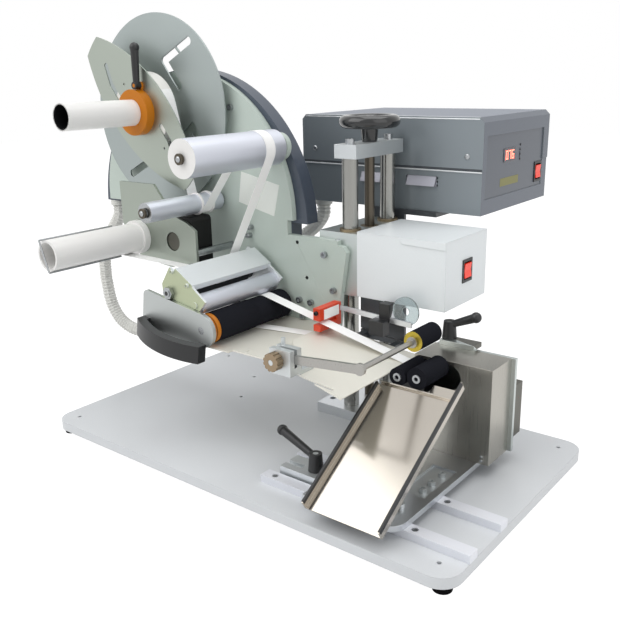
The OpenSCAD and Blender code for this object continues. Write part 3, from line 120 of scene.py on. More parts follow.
@dataclass(frozen=True)
class Finish:
    """A surface with a fine grain, a slow drift of tone and uneven gloss.

    Attributes:
        name: Real material and how its surface was made.
        colour: sRGB hex colour.
        roughness: Middle value of the gloss.
        metallic: 1 for bare metal.
        ior: Index of refraction; a metal keeps the default.
        grain_mm: Size of one mark of the surface, or as coarse as shows in the render.
        depth_mm: Height of the marks.
        drift: How far the tone wanders, as a share.
        gloss_drift: How far the roughness wanders to either side.
        grain: Direction of the marks.
        rounded_mm: Radius that the shading gives to sharp CAD edges.
        coat: Weight of a clear top layer.
        specular: Strength of the mirror light; 0.5 is the index's own.
    """

    name: str
    colour: str
    roughness: float = 0.5
    metallic: float = 0.0
    ior: float = 1.5
    grain_mm: float = 1.5
    depth_mm: float = 0.03
    drift: float = 0.04
    gloss_drift: float = 0.06
    grain: Grain = Grain.EVEN
    rounded_mm: float = 0.8
    coat: float = 0.0
    specular: float = 0.5
    _made: ClassVar[dict[str, bpy.types.Material]] = {}

    def extra(self, tree: bpy.types.NodeTree, shader: bpy.types.Node) -> None:
        """Change the shader for what this kind of finish has beyond the rest."""

    def build(self) -> bpy.types.Material:
        """Make the material once and return it after that.

        Returns:
            The material, shared by all pieces of this finish.
        """
        if self.name in self._made:
            return self._made[self.name]
        material = bpy.data.materials.new(self.name)
        material.use_nodes = True
        tree = material.node_tree
        tree.nodes.clear()
        place = add_node(tree, "ShaderNodeTexCoord").outputs["Object"]
        step = 1 / (self.grain_mm * MM)
        scale = tuple(step * s for s in self.grain.value)
        fine_at = add_node(tree, "ShaderNodeMapping", values={"Scale": scale}, links={"Vector": place})
        fine = add_node(tree, "ShaderNodeTexNoise", values={"Scale": 1.0, "Detail": 3.0, "Roughness": 0.6},
                        links={"Vector": fine_at.outputs[0]}).outputs[0]
        slow = add_node(tree, "ShaderNodeTexNoise", values={"Scale": 1 / (DRIFT_MM * MM), "Detail": 2.0},
                        links={"Vector": place}).outputs[0]
        base = linear(self.colour)
        dark = tuple(c * (1 - self.drift) for c in base[:3]) + (1.0,)
        pale = tuple(min(1.0, c * (1 + self.drift)) for c in base[:3]) + (1.0,)
        both = add_node(tree, "ShaderNodeMath", {"operation": "ADD"}, {}, {0: fine, 1: slow}).outputs[0]
        half = add_node(tree, "ShaderNodeMath", {"operation": "MULTIPLY"}, {1: 0.5}, {0: both}).outputs[0]
        # The mix node's colours are its inputs 6 and 7 and its output 2
        tone = add_node(tree, "ShaderNodeMix", {"data_type": "RGBA"}, {6: dark, 7: pale},
                        {0: half}).outputs[2]
        gloss = add_node(tree, "ShaderNodeMapRange",
                         values={"To Min": max(0.02, self.roughness - self.gloss_drift),
                                 "To Max": min(1.0, self.roughness + self.gloss_drift)},
                         links={"Value": fine}).outputs[0]
        edge = add_node(tree, "ShaderNodeBevel", {"samples": 4}, {"Radius": self.rounded_mm * MM})
        bump = add_node(tree, "ShaderNodeBump", values={"Strength": 0.6, "Distance": self.depth_mm * MM},
                        links={"Height": fine, "Normal": edge.outputs[0]}).outputs[0]
        shader = add_node(tree, "ShaderNodeBsdfPrincipled",
                          values={"Metallic": self.metallic, "IOR": self.ior, "Coat Weight": self.coat,
                                  "Specular IOR Level": self.specular},
                          links={"Base Color": tone, "Roughness": gloss, "Normal": bump})
        self.extra(tree, shader)
        add_node(tree, "ShaderNodeOutputMaterial", links={"Surface": shader.outputs[0]})
        material.diffuse_color = base
        self._made[self.name] = material
        return material


@dataclass(frozen=True)
class PowderCoat(Finish):
    """Baked powder coat: an orange-peel skin about 2 mm across over metal."""

    roughness: float = 0.42
    grain_mm: float = 2.2
    depth_mm: float = 0.05
    coat: float = 0.15
    rounded_mm: float = 1.4


@dataclass(frozen=True)
class BareMetal(Finish):
    """Bare or anodised metal, brushed, ground or turned: short fine lines and a soft glint.

    Real lines are about 0.1 mm apart, too fine for the render, so they are drawn 0.9 mm apart or more.
    """

    roughness: float = 0.3
    metallic: float = 1.0
    grain_mm: float = 0.9
    depth_mm: float = 0.02
    drift: float = 0.06
    gloss_drift: float = 0.1
    rounded_mm: float = 0.5


@dataclass(frozen=True)
class Moulded(Finish):
    """Moulded plastic with a lightly sparked skin, whose 0.2 mm pits are drawn coarser to show."""

    roughness: float = 0.38
    ior: float = 1.52
    grain_mm: float = 1.4
    depth_mm: float = 0.02
    rounded_mm: float = 1.0


@dataclass(frozen=True)
class Rubber(Finish):
    """Ground or moulded rubber: dull, with no mirror light along its edges.

    The marks of the grinding, about 0.3 mm wide, are drawn at 1.2 mm so that they show.
    """

    roughness: float = 0.75
    ior: float = 1.52
    grain_mm: float = 1.2
    depth_mm: float = 0.04
    specular: float = 0.0


@dataclass(frozen=True)
class Paper(Finish):
    """Calendered paper: matt, with soft fibres about 1.5 mm long."""

    roughness: float = 0.6
    ior: float = 1.47
    grain_mm: float = 1.6
    depth_mm: float = 0.02
    drift: float = 0.02
    rounded_mm: float = 0.2


@dataclass(frozen=True)
class Acrylic(Finish):
    """Cast acrylic, clear with a faint grey edge."""

    roughness: float = 0.06
    ior: float = 1.49
    depth_mm: float = 0.0
    passed: float = 0.8

    def extra(self, tree: bpy.types.NodeTree, shader: bpy.types.Node) -> None:
        """Let most light through the sheet."""
        shader.inputs["Transmission Weight"].default_value = self.passed


@dataclass(frozen=True)
class Lit(Finish):
    """A lit segment or lamp behind tinted film."""

    power: float = 3.0

    def extra(self, tree: bpy.types.NodeTree, shader: bpy.types.Node) -> None:
        """Make the surface glow in its own colour."""
        shader.inputs["Emission Color"].default_value = linear(self.colour)
        shader.inputs["Emission Strength"].default_value = self.power


# Light grey powder coat gives the deck an even, half-dull skin with a faint orange peel
BASE_ENAMEL = PowderCoat("powder_coat_light_grey", "#d2d5d8", roughness=0.42)
# White powder coat makes the housing the brightest block, with wide soft highlights
HOUSING_ENAMEL = PowderCoat("powder_coat_white", "#e9eef0", roughness=0.34)
# Sprayed enamel gives the main plate a cool green-grey tint and a low shine
HEAD_ENAMEL = PowderCoat("enamel_pale_grey_green", "#bdc9c1", roughness=0.36)
# Slate powder coat reads as dark blue-grey, its rounded edges picked out by their shine
SLATE_ENAMEL = PowderCoat("powder_coat_slate", "#424b59", roughness=0.38)
# Metal flakes in the coat lift the control box's grey where it faces the light
CONTROL_ENAMEL = PowderCoat("powder_coat_metallic_grey", "#848c91", roughness=0.4, metallic=0.3)
# A pale copy of the coat on the shell's rim and the lid's rolled edge is a painted highlight where they
# catch the light
EDGE_HIGHLIGHT_ENAMEL = PowderCoat("powder_coat_edge_painted_highlight", "#dfe2e4", roughness=0.36, metallic=0.3)
# A paler copy of the coat on the raised hoods is painted light, where they catch the top light that misses
# the wall round them
HOOD_LIT_ENAMEL = PowderCoat("powder_coat_hood_painted_light", "#b9b9c4", roughness=0.4, metallic=0.2)
# The coat inside a seam gets little light and shows as a thin dark line
SEAM_SHADE = PowderCoat("powder_coat_inside_seam", "#3d4247", roughness=0.6)
# A darker copy of the flaked coat on the side walls is painted shade, where they face away from the key
# light
CONTROL_SIDE_SHADE = PowderCoat("powder_coat_metallic_side_painted_shade", "#656b75", roughness=0.42, metallic=0.3)
# The flaked coat is smoother on the lid, and its deeper bluish copy there is a painted reflection of how the
# lid looks at a low angle
CONTROL_LID_REFLECTION = PowderCoat("powder_coat_metallic_lid_painted_reflection", "#4f5a6d", roughness=0.34, metallic=0.3, coat=0.0)
# Dark grey enamel lets the brackets sink back behind the bright pieces
DARK_ENAMEL = PowderCoat("enamel_dark_grey", "#3c4044", roughness=0.45)
# Black enamelled laminations make the motor a flat black block
MOTOR_ENAMEL = PowderCoat("enamel_black_laminations", "#111111", roughness=0.5, coat=0.0, specular=0.25)
# Milled and anodised aluminium is pale silver with faint lines along the cut
ANODISED = BareMetal("anodised_aluminium_milled", "#cfd2d5", roughness=0.34, grain=Grain.ALONG_X)
# Drawn bar keeps lines along its length and a duller silver
ANODISED_Y = BareMetal("anodised_aluminium_drawn", "#c9cdce", roughness=0.44, metallic=0.85,
                       grain=Grain.ALONG_Y, depth_mm=0.01)
# Clear anodised rail looks nearly white, with a wide dull sheen
RAIL_METAL = BareMetal("anodised_aluminium_rail", "#e3e5eb", roughness=0.55, metallic=0.5,
                       grain=Grain.ALONG_X)
# Painted shade: anodised metal deep in a slot, coloured plain dark grey
SLOT_SHADE = BareMetal("anodised_aluminium_unlit", "#2b2d31", roughness=0.6, metallic=0.4)
# A turned skin has fine rings, which draw a long soft highlight along the roller
ROLLER_SKIN = BareMetal("anodised_aluminium_turned", "#d3d6df", roughness=0.46, metallic=0.85,
                        grain=Grain.ROUND_Y)
# Anodised plate for the bearing is an even middle silver
BEARING_METAL = BareMetal("anodised_aluminium_bearing", "#b4b8b7", roughness=0.4)
# Blasting takes the lines away and leaves an even greenish grey
BRACKET_METAL = BareMetal("anodised_aluminium_blasted", "#9fa69d", roughness=0.42)
# The blasted flange is a step lighter than the bracket and as even
FLANGE_METAL = BareMetal("anodised_aluminium_flange", "#a8afa6", roughness=0.4)
# Folded and anodised sheet gives the press frame bright broad faces
PRESS_METAL = BareMetal("anodised_aluminium_press", "#e4e8ea", roughness=0.52, metallic=0.6,
                        grain=Grain.ALONG_Y)
# Zinc passivation leaves a yellow-green tint on the end plate
ZINC_TINT = BareMetal("zinc_passivated_green", "#b0b79b", roughness=0.4)
# Milled plate with upright lines is a clear cool silver
PLATE_METAL = BareMetal("anodised_aluminium_plate", "#c3c9c7", roughness=0.38, grain=Grain.ALONG_Z)
# Spun and matt etched aluminium gives the disc a wide dim sheen
DISC_METAL = BareMetal("spun_aluminium_matt", "#a2aaa9", roughness=0.44)
# Ground steel draws a sharp narrow highlight up each column
SHAFT_STEEL = BareMetal("ground_shaft_steel", "#93938f", roughness=0.24, grain=Grain.ALONG_Z)
# Stainless fasteners are small bright points
BOLT_STEEL = BareMetal("stainless_fastener", "#a8abad", roughness=0.28)
# Brushed stainless sheet is a warm pale grey, with lines along the tray
SHEET_STEEL = BareMetal("stainless_sheet_brushed", "#e0ded5", roughness=0.6, metallic=0.6,
                        grain=Grain.ALONG_X, grain_mm=1.4)
# Polished stainless sheet mirrors the room in broad bands
CHUTE_STEEL = BareMetal("stainless_sheet_polished", "#bbb5ac", roughness=0.17, depth_mm=0.002,
                        gloss_drift=0.03)
# Upright brushing draws the cover's highlight out sideways
COVER_STEEL = BareMetal("stainless_cover_brushed", "#aaa79f", roughness=0.3, grain=Grain.ALONG_Z,
                        grain_mm=1.3)
# Oil turns the screw steel dark brown-grey with a wet glint; the same dark colour on the axle nuts is
# painted shade of the recess round their screw heads
OILED_STEEL_AND_NUT_SHADE = BareMetal("screw_steel_oiled_and_nut_shade", "#5b554c", roughness=0.3)
# Polished rod shows one thin bright line along it
ROD_STEEL = BareMetal("stainless_rod_polished", "#a3a19d", roughness=0.3, depth_mm=0.004)
# Knurled nickel looks warm and sparkles at the rim
KNOB_STEEL = BareMetal("nickel_knob_knurled", "#93826c", roughness=0.34)
# Dark brushed steel plate stays dull beside the bright metal
GEAR_PLATE = BareMetal("steel_plate_brushed_dark", "#62615a", roughness=0.4, grain=Grain.ALONG_Z)
# Turned bronze adds a dull brown-yellow ring at each bushing
BRONZE = BareMetal("bronze_turned", "#8d7f68", roughness=0.42)
# Turned brass glints in a clear yellow
BRASS = BareMetal("brass_turned", "#baa546", roughness=0.3)
# Glass-filled nylon is nearly black, with a soft moulded sheen; the same black also serves as painted shade
# in holes, in a socket and behind and under the rollers
NYLON_BLACK_AND_SHADE = Moulded("glass_filled_nylon_black_and_painted_shade", "#141517", roughness=0.4)
# Polished phenolic is deep black with sharp highlights round the wheel's rim
PHENOLIC = Moulded("phenolic_black_polished", "#101113", roughness=0.18, coat=0.3)
# Turned acetal is milky white and half matt
ACETAL = Moulded("acetal_white_turned", "#ecebe9", roughness=0.36)
# Corrugated nylon is a light warm grey, with a small highlight on each rib
CONDUIT = Moulded("corrugated_nylon_grey", "#d8d8d3", roughness=0.42)
# Moulded orange-red makes the sensor the strongest colour of the head
SENSOR_ORANGE = Moulded("moulded_orange_red", "#d8411f", roughness=0.36)
# Turned acetal in a deep warm orange has little shine
COLLAR_ORANGE = Moulded("acetal_orange_turned", "#c07204", roughness=0.42, specular=0.3)
# A lamp behind the clear red lens makes the switch glow a little
SWITCH_RED = Lit("polycarbonate_lens_red_lamp_on", "#e2341c", roughness=0.25, power=0.35)
# Polyester film over the panel is smooth, blue-grey and a bit glossy
PANEL_FILM = Moulded("polyester_film_grey", "#555b65", roughness=0.3)
# Tinted film over the display looks like dark glass
WINDOW_FILM = Moulded("display_window_tinted", "#4a464f", roughness=0.15)
# Ground polyurethane is dull blue-black and swallows highlights
DRIVE_RUBBER = Rubber("polyurethane_rubber_ground", "#232429", roughness=0.78)
# Moulded rubber feet are plain dull black
FOOT_RUBBER = Rubber("rubber_foot_moulded", "#161617")
# Glassine is white and smooth, so the web reads as a bright band
LABEL_PAPER = Paper("glassine_white", "#fbfbfa")
# The roll's cut edges lie in rings, a shade warmer than the paper's face
ROLL_PAPER = Paper("paper_roll_edge", "#ecebe6", grain=Grain.ROUND_Y, depth_mm=0.08)
# Film with nothing on it is smoother than paper and slightly green
PLATE_BLANK = Paper("blank_film_plate", "#e4e8e2", roughness=0.35)
# Cast acrylic shows what is behind it through a cool grey tint
CLEAR_DISC = Acrylic("acrylic_clear", "#c6d2d4")
# A lit segment is brighter than all round it
SEGMENT = Lit("led_segment_red", "#ff7a62", power=4.0)
# An unlit lens is a small dark bead
LAMP_OFF = Moulded("led_lens_unlit", "#22252b", roughness=0.3)
# Screen-printed olive ink is flat and muted against the panel
BAR_INK = Moulded("printed_olive_blank", "#7d7a3c", roughness=0.4)


def dress(node: str, finish: Finish, *parts: tuple[Finish, Where]) -> None:
    """Give a CAD node its finish, and other finishes to the faces that each test picks.

    Args:
        node: Name of the CAD node.
        finish: Finish of all faces no test picks.
        parts: Pairs of a finish and a test of a face's middle, in mm from the base top's
            middle, and its normal.
    """
    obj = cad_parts[node]
    mesh = obj.data
    mesh.materials.clear()
    mesh.materials.append(finish.build())
    for other, _ in parts:
        mesh.materials.append(other.build())
    for face in mesh.polygons:
        middle = face.center / MM - ORIGIN_MM
        face.material_index = next(
            (i + 1 for i, (_, test) in enumerate(parts) if test(middle, face.normal)), 0)
    LOG.info("dressed %s in %s", node, finish.name)


def shown(name: str, mesh: bmesh.types.BMesh, body: str, finish: Finish,
          smooth: bool = False) -> None:
    """Turn a bmesh into a finished piece that rides on a body.

    Args:
        name: Piece name.
        mesh: Mesh in row-frame metres; it is freed here.
        body: CAD body that carries the piece.
        finish: Finish of the whole piece.
        smooth: Whether faces are shaded smooth.
    """
    data = bpy.data.meshes.new(name)
    bmesh.ops.recalc_face_normals(mesh, faces=mesh.faces)
    mesh.to_mesh(data)
    mesh.free()
    data.polygons.foreach_set("use_smooth", [smooth] * len(data.polygons))
    data.materials.append(finish.build())
    obj = bpy.data.objects.new(name, data)
    bpy.context.scene.collection.objects.link(obj)
    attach(obj, body)
    LOG.info("made %s, carried by %s", name, body)


def add_box(mesh: bmesh.types.BMesh, low: Vector, high: Vector, bevel: float = 0.0) -> None:
    """Add a box.

    Args:
        mesh: Mesh to add to.
        low: Corner with the least values, in metres.
        high: Corner with the greatest values.
        bevel: Radius of the edges, in mm.
    """
    made = bmesh.ops.create_cube(mesh, size=1.0)["verts"]
    size, middle = high - low, (high + low) / 2
    for vert in made:
        vert.co = Vector((vert.co.x * size.x, vert.co.y * size.y, vert.co.z * size.z)) + middle
    if bevel:
        edges = {e for v in made for e in v.link_edges}
        bmesh.ops.bevel(mesh, geom=list(edges), offset=bevel * MM, segments=3, profile=0.5, affect="EDGES")


def add_prism(mesh: bmesh.types.BMesh, *outlines: Sequence[Vector]) -> None:
    """Add a solid between two outlines.

    Args:
        mesh: Mesh to add to.
        outlines: The first and the last outline, in metres, with matching points.
    """
    first, last = ([mesh.verts.new(point) for point in outline] for outline in outlines)
    mesh.faces.new(first)
    mesh.faces.new(last[::-1])
    for k in range(len(first)):
        n = (k + 1) % len(first)
        mesh.faces.new((first[k], first[n], last[n], last[k]))


def add_lathe(mesh: bmesh.types.BMesh, profile: Sequence[tuple[float, float]], foot: Vector,
              axis: Vector, sides: int, bored: bool = False) -> None:
    """Add a turned form.

    Args:
        mesh: Mesh to add to.
        profile: Points of radius and height along the axis, in mm.
        foot: Place of height 0, in metres.
        axis: Direction of the heights.
        sides: Number of sides round the axis.
        bored: Whether the form is a ring, its first and last point joined by a bore.
    """
    turn = axis.to_track_quat("Z", "Y").to_matrix()
    rings = []
    for radius, height in profile:
        ring = []
        for k in range(sides):
            a = 2 * math.pi * k / sides
            local = Vector((radius * math.cos(a), radius * math.sin(a), height)) * MM
            ring.append(mesh.verts.new(foot + turn @ local))
        rings.append(ring)
    for low, high in zip(rings, rings[1:] + rings[:1] if bored else rings[1:]):
        for k in range(sides):
            n = (k + 1) % sides
            mesh.faces.new((low[k], low[n], high[n], high[k]))
    if not bored:
        mesh.faces.new(rings[0])
        mesh.faces.new(rings[-1])


def turned_set(name: str, places: Sequence[Vector], profile: Pairs, sides: int, finish: Finish,
               body: str = "head", axis: Vector = TO_FRONT) -> None:
    """Show a small turned form, repeated at several places, as one piece.

    Args:
        name: Piece name.
        places: Foot of each form, in metres.
        profile: Points of radius and height, in mm.
        sides: Number of sides round each form.
        finish: Finish of the whole piece.
        body: CAD body that carries the piece.
        axis: Direction that all the forms point in.
    """
    mesh = bmesh.new()
    for place in places:
        add_lathe(mesh, profile, place, axis, sides)
    shown(name, mesh, body, finish)


def socket_head(d: float) -> Pairs:
    """Return the profile of a socket head screw's head, for a thread d mm across."""
    r = 0.85 * d
    return ((r, 0), (r, 0.85 * d), (r - 0.12 * d, d), (0.5 * d, d), (0.5 * d, 0.45 * d), (0.01, 0.4 * d))


@dataclass
class Studio:
    """Camera at the photograph's place, soft lamps, white surroundings and a pale floor."""

    camera_mm: Place = (721.7, -879.0, 548.0)
    azimuth: float = 38.79
    down: float = 16.9
    roll: float = -1.27
    lens: float = 45.2
    sensor: float = 36.0
    clip: tuple[float, float] = (0.05, 60.0)
    floor_half: float = 6.0
    floor_tone: float = 0.86
    floor_glow: float = 1.25
    glow_share: float = 0.8
    lamps: tuple[tuple[str, Place, float, float], ...] = (("key", (-1.2, -2.2, 2.6), 3.0, 57.0),
                                                          ("fill", (2.8, -0.6, 1.6), 2.6, 17.0),
                                                          ("top", (0.5, 0.3, 3.2), 2.4, 38.0))
    aim: Place = (0.05, 0.0, 0.3)
    world_light: float = 0.46

    def build(self) -> None:
        """Make camera, lamps, world and floor."""
        self.camera()
        for name, at, size, power in self.lamps:
            self.lamp(name, Vector(at), size, power)
        self.world()
        self.floor()

    def camera(self) -> None:
        """Aim the camera as the photograph was taken."""
        a, p, r = (math.radians(v) for v in (self.azimuth, self.down, self.roll))
        ahead = Vector((-math.sin(a) * math.cos(p), math.cos(a) * math.cos(p), -math.sin(p)))
        right = Vector((math.cos(a), math.sin(a), 0.0))
        up = right.cross(ahead)
        right, up = (right * math.cos(r) + up * math.sin(r), up * math.cos(r) - right * math.sin(r))
        data = bpy.data.cameras.new("photo_camera")
        data.lens, data.sensor_width = self.lens, self.sensor
        data.clip_start, data.clip_end = self.clip
        camera = bpy.data.objects.new("photo_camera", data)
        turn = Matrix((right, up, -ahead)).transposed().to_4x4()
        camera.matrix_world = Matrix.Translation(spot(*self.camera_mm)) @ turn
        bpy.context.scene.collection.objects.link(camera)
        bpy.context.scene.camera = camera

    def lamp(self, name: str, at: Vector, size: float, power: float) -> None:
        """Add a square soft lamp that faces the machine.

        Args:
            name: Lamp name.
            at: Its place, in metres.
            size: Length of its sides, in metres.
            power: Its power, in watts.
        """
        data = bpy.data.lights.new(name, "AREA")
        data.size, data.energy = size, power
        lamp = bpy.data.objects.new(name, data)
        lamp.location = at
        lamp.rotation_mode = "QUATERNION"
        lamp.rotation_quaternion = (Vector(self.aim) - at).to_track_quat("-Z", "Y")
        bpy.context.scene.collection.objects.link(lamp)

    def world(self) -> None:
        """Light evenly, and show white to the camera and to shiny or clear surfaces."""
        world = bpy.data.worlds.new("white_room")
        world.use_nodes = True
        tree = world.node_tree
        tree.nodes.clear()
        strength = add_node(tree, "ShaderNodeMapRange", values={"To Min": self.world_light, "To Max": 1.0},
                            links={"Value": self.seen(tree)})
        back = add_node(tree, "ShaderNodeBackground", values={"Color": (1.0, 1.0, 1.0, 1.0)},
                        links={"Strength": strength.outputs[0]})
        add_node(tree, "ShaderNodeOutputWorld", links={"Surface": back.outputs[0]})
        bpy.context.scene.world = world
        bpy.context.scene.view_settings.view_transform = "Standard"

    @staticmethod
    def seen(tree: bpy.types.NodeTree) -> bpy.types.NodeSocket:
        """Pick out the rays that show a surface itself and not its light on others.

        Args:
            tree: Node tree to add to.

        Returns:
            Output that is 1 for camera, mirror and see-through rays.
        """
        rays = add_node(tree, "ShaderNodeLightPath")
        two = add_node(tree, "ShaderNodeMath", {"operation": "MAXIMUM"}, {},
                       {0: rays.outputs["Is Camera Ray"], 1: rays.outputs["Is Glossy Ray"]})
        return add_node(tree, "ShaderNodeMath", {"operation": "MAXIMUM"}, {},
                        {0: two.outputs[0], 1: rays.outputs["Is Transmission Ray"]}).outputs[0]

    def floor(self) -> None:
        """Lay a white floor that keeps the machine's soft shadow."""
        mesh = bmesh.new()
        h = self.floor_half
        mesh.faces.new([mesh.verts.new((x, y, 0.0)) for x, y in ((-h, -h), (h, -h), (h, h), (-h, h))])
        data = bpy.data.meshes.new("floor")
        mesh.to_mesh(data)
        mesh.free()
        material = bpy.data.materials.new("white_paper_floor")
        material.use_nodes = True
        tree = material.node_tree
        tree.nodes.clear()
        share = add_node(tree, "ShaderNodeMath", {"operation": "MULTIPLY"}, {1: self.glow_share},
                         {0: self.seen(tree)})
        paper = add_node(tree, "ShaderNodeBsdfDiffuse", values={"Color": (self.floor_tone,) * 3 + (1.0,)})
        glow = add_node(tree, "ShaderNodeEmission",
                        values={"Color": (1.0, 1.0, 1.0, 1.0), "Strength": self.floor_glow})
        mixed = add_node(tree, "ShaderNodeMixShader",
                         links={0: share.outputs[0], 1: paper.outputs[0], 2: glow.outputs[0]})
        add_node(tree, "ShaderNodeOutputMaterial", links={"Surface": mixed.outputs[0]})
        data.materials.append(material)
        floor = bpy.data.objects.new("floor", data)
        bpy.context.scene.collection.objects.link(floor)


@dataclass
class Base:
    """Base plate on rubber feet, with slide rails, columns and yoke."""

    def build(self) -> None:
        """Dress the plate, rails, columns and yoke."""
        dress("base_plate", BASE_ENAMEL)
        dress("rubber_feet", FOOT_RUBBER)
        dress("slide_rails", RAIL_METAL)
        dress("deck_screws", BOLT_STEEL)
        dress("column_base", ANODISED)
        dress("guide_columns", SHAFT_STEEL)
        dress("top_yoke", ANODISED_Y)


@dataclass
class Lift:
    """Lead screw and its handwheel."""

    axis: tuple[float, float] = (19.0, 154.0)
    hub_top: float = 475.0
    hub_screw_d: float = 8.0
    thread_low: float = 20.0
    thread_high: float = 420.0
    pitch: float = 5.0
    steps: int = 16
    crest: Pairs = ((7.2, -1.2), (8.0, -0.5), (8.0, 0.5), (7.2, 1.2))

    def build(self) -> None:
        """Dress the wheel, cut the thread and add the hub screw."""
        dress("lead_screw", OILED_STEEL_AND_NUT_SHADE)
        dress("handwheel", PHENOLIC)
        self.thread()
        turned_set("hub_screw", [spot(*self.axis, self.hub_top)], socket_head(self.hub_screw_d), 24,
                   BOLT_STEEL, "lift_wheel", Vector((0, 0, 1)))

    def thread(self) -> None:
        """Wind the screw's thread crest as a helix round the plain rod."""
        mesh = bmesh.new()
        x, y = self.axis
        turns = (self.thread_high - self.thread_low) / self.pitch
        last = None
        for i in range(int(turns * self.steps) + 1):
            a = 2 * math.pi * i / self.steps
            z = self.thread_low + self.pitch * i / self.steps
            ring = [mesh.verts.new(spot(x + r * math.cos(a), y + r * math.sin(a), z + dz))
                    for r, dz in self.crest]
            if last:
                for k in range(len(ring)):
                    n = (k + 1) % len(ring)
                    mesh.faces.new((last[k], last[n], ring[n], ring[k]))
            else:
                mesh.faces.new(ring)
            last = ring
        mesh.faces.new(last[::-1])
        shown("screw_thread", mesh, "lift_wheel", OILED_STEEL_AND_NUT_SHADE)


@dataclass
class Head:
    """Lifting block, drive housing, main plate, casing and what is bolted to them."""

    blank_plate: Pairs = ((-180.9, 394.5), (-98.7, 377.3), (-111.3, 326.0), (-189.2, 343.5))
    film_sink: float = 0.6
    film_proud: float = 0.05
    plate_front: float = 70.0
    slide_front: float = 80.0
    slide_screws: Pairs = ((-20.3, 293.5), (10.8, 295.4))
    slide_screw_d: float = 6.0
    tapped_holes: Pairs = ((-64.2, 288.3), (-45.8, 232.1))
    hole_sink: float = 0.05
    hole_profile: Pairs = ((2.9, 0.0), (2.9, 0.25), (2.2, 0.3), (2.0, 0.05), (0.01, 0.05))
    studs: Pairs = ((-162.1, 303.6), (-165.9, 289.4))
    stud_profile: Pairs = ((4.6, 0.0), (4.6, 9.0), (4.0, 9.6), (2.4, 9.8), (2.4, 14.0), (1.6, 14.8),
                           (0.01, 14.8))
    top_nut: tuple[float, float] = (-145.0, -133.2)
    idler_nut: tuple[float, float] = (-110.0, -98.2)
    nut_reach: float = 12.0
    motor_front: float = -15.2

    def build(self) -> None:
        """Dress the head's plates and housings and add its small hardware."""
        dress("slide_block", PLATE_METAL)
        dress("lift_bushings", BRONZE)
        dress("housing_box", HOUSING_ENAMEL)
        dress("housing_lid", HOUSING_ENAMEL)
        dress("main_plate", HEAD_ENAMEL)
        dress("back_casing", SLATE_ENAMEL)
        # The axle nuts take the dark oiled colour as painted shade of the recess round their screw heads
        dress("axles_and_bolts", BOLT_STEEL, (OILED_STEEL_AND_NUT_SHADE, lambda c, n: self.in_nut(c)))
        dress("rewind_bracket", BRACKET_METAL)
        dress("stepper_motor", MOTOR_ENAMEL, (GEAR_PLATE, lambda c, n: c.y < self.motor_front))
        dress("bearing_plate", BEARING_METAL)
        dress("bow_handle", NYLON_BLACK_AND_SHADE)
        dress("head_brackets", DARK_ENAMEL)
        dress("arm_block", ANODISED_Y)
        self.label_plate()
        self.hardware()

    def in_nut(self, c: Vector) -> bool:
        """Tell whether a face belongs to the upper roller's or the idler's axle nut."""
        near = self.idler_nut[0] < c.y < self.idler_nut[1] and Axis.SMALL_IDLER.off(c) < self.nut_reach
        return near or self.top_nut[0] < c.y < self.top_nut[1]

    def label_plate(self) -> None:
        """Stick the bare film plate on the main plate, a little out of level."""
        mesh = bmesh.new()
        add_prism(mesh, *([spot(x, self.plate_front + y, z) for x, z in self.blank_plate]
                          for y in (-self.film_sink, self.film_proud)))
        shown("blank_film_plate", mesh, "head", PLATE_BLANK)

    def hardware(self) -> None:
        """Add the slide block's cap screws, the plate's tapped holes as black discs of painted shade, and
        two hex studs.
        """
        turned_set("slide_screws", [spot(x, self.slide_front, z) for x, z in self.slide_screws],
                   socket_head(self.slide_screw_d), 24, BOLT_STEEL)
        holes = [spot(x, self.plate_front + self.hole_sink, z) for x, z in self.tapped_holes]
        # Each tapped hole is a thin black disc, painted shade standing in for the dark inside of the hole
        turned_set("tapped_holes", holes, self.hole_profile, 20, NYLON_BLACK_AND_SHADE)
        studs = [spot(x, self.plate_front, z) for x, z in self.studs]
        turned_set("hex_studs", studs, self.stud_profile, 6, BOLT_STEEL)


@dataclass
class Feed:
    """Tray, peel plate, sensors and the label web."""

    tail: Pairs = ((-112.0, -117.4), (-46.0, -117.4), (-46.0, -108.0), (-92.0, -108.0), (-92.0, 69.0),
                   (-112.0, 69.0))
    tail_heights: tuple[float, float] = (158.0, 160.0)
    clamp_left: float = 94.0
    clamp_front: float = 57.9
    rail_heights: tuple[float, float] = (188.0, 201.0)
    sensor_low: Place = (27.95, 18.0, 187.5)
    sensor_high: Place = (28.4, 56.0, 203.0)
    sensor_screw: Place = (21.5, 8.1, 199.0)
    sensor_screw_d: float = 4.0

    def build(self) -> None:
        """Dress the feed path."""
        dress("feed_tray", SHEET_STEEL)
        dress("peel_plate", SHEET_STEEL)
        dress("sensor_rail", ANODISED, (NYLON_BLACK_AND_SHADE, lambda c, n: self.on_clamp(c)))
        dress("fork_sensor", SENSOR_ORANGE)
        dress("guide_disc", CLEAR_DISC)
        dress("label_web", LABEL_PAPER)
        self.sensor_face()
        self.tray_tail()

    def on_clamp(self, c: Vector) -> bool:
        """Tell whether a face of the sensor rail belongs to the black clamp at its right end."""
        low, high = self.rail_heights
        return c.x > self.clamp_left and (c.y < self.clamp_front or c.z > high or c.z < low)

    def sensor_face(self) -> None:
        """Stick the blank white plate on the fork sensor's side and set the screw in its front."""
        mesh = bmesh.new()
        add_box(mesh, spot(*self.sensor_low), spot(*self.sensor_high))
        shown("sensor_blank_label", mesh, "head", LABEL_PAPER)
        turned_set("sensor_screw", [spot(*self.sensor_screw)], socket_head(self.sensor_screw_d), 24,
                   NYLON_BLACK_AND_SHADE)

    def tray_tail(self) -> None:
        """Carry the tray's sheet on under the rubber roller, up to the bearing plate."""
        mesh = bmesh.new()
        add_prism(mesh, *([spot(x, y, z) for x, y in self.tail] for z in self.tail_heights))
        shown("feed_tray_tail", mesh, "head", SHEET_STEEL)


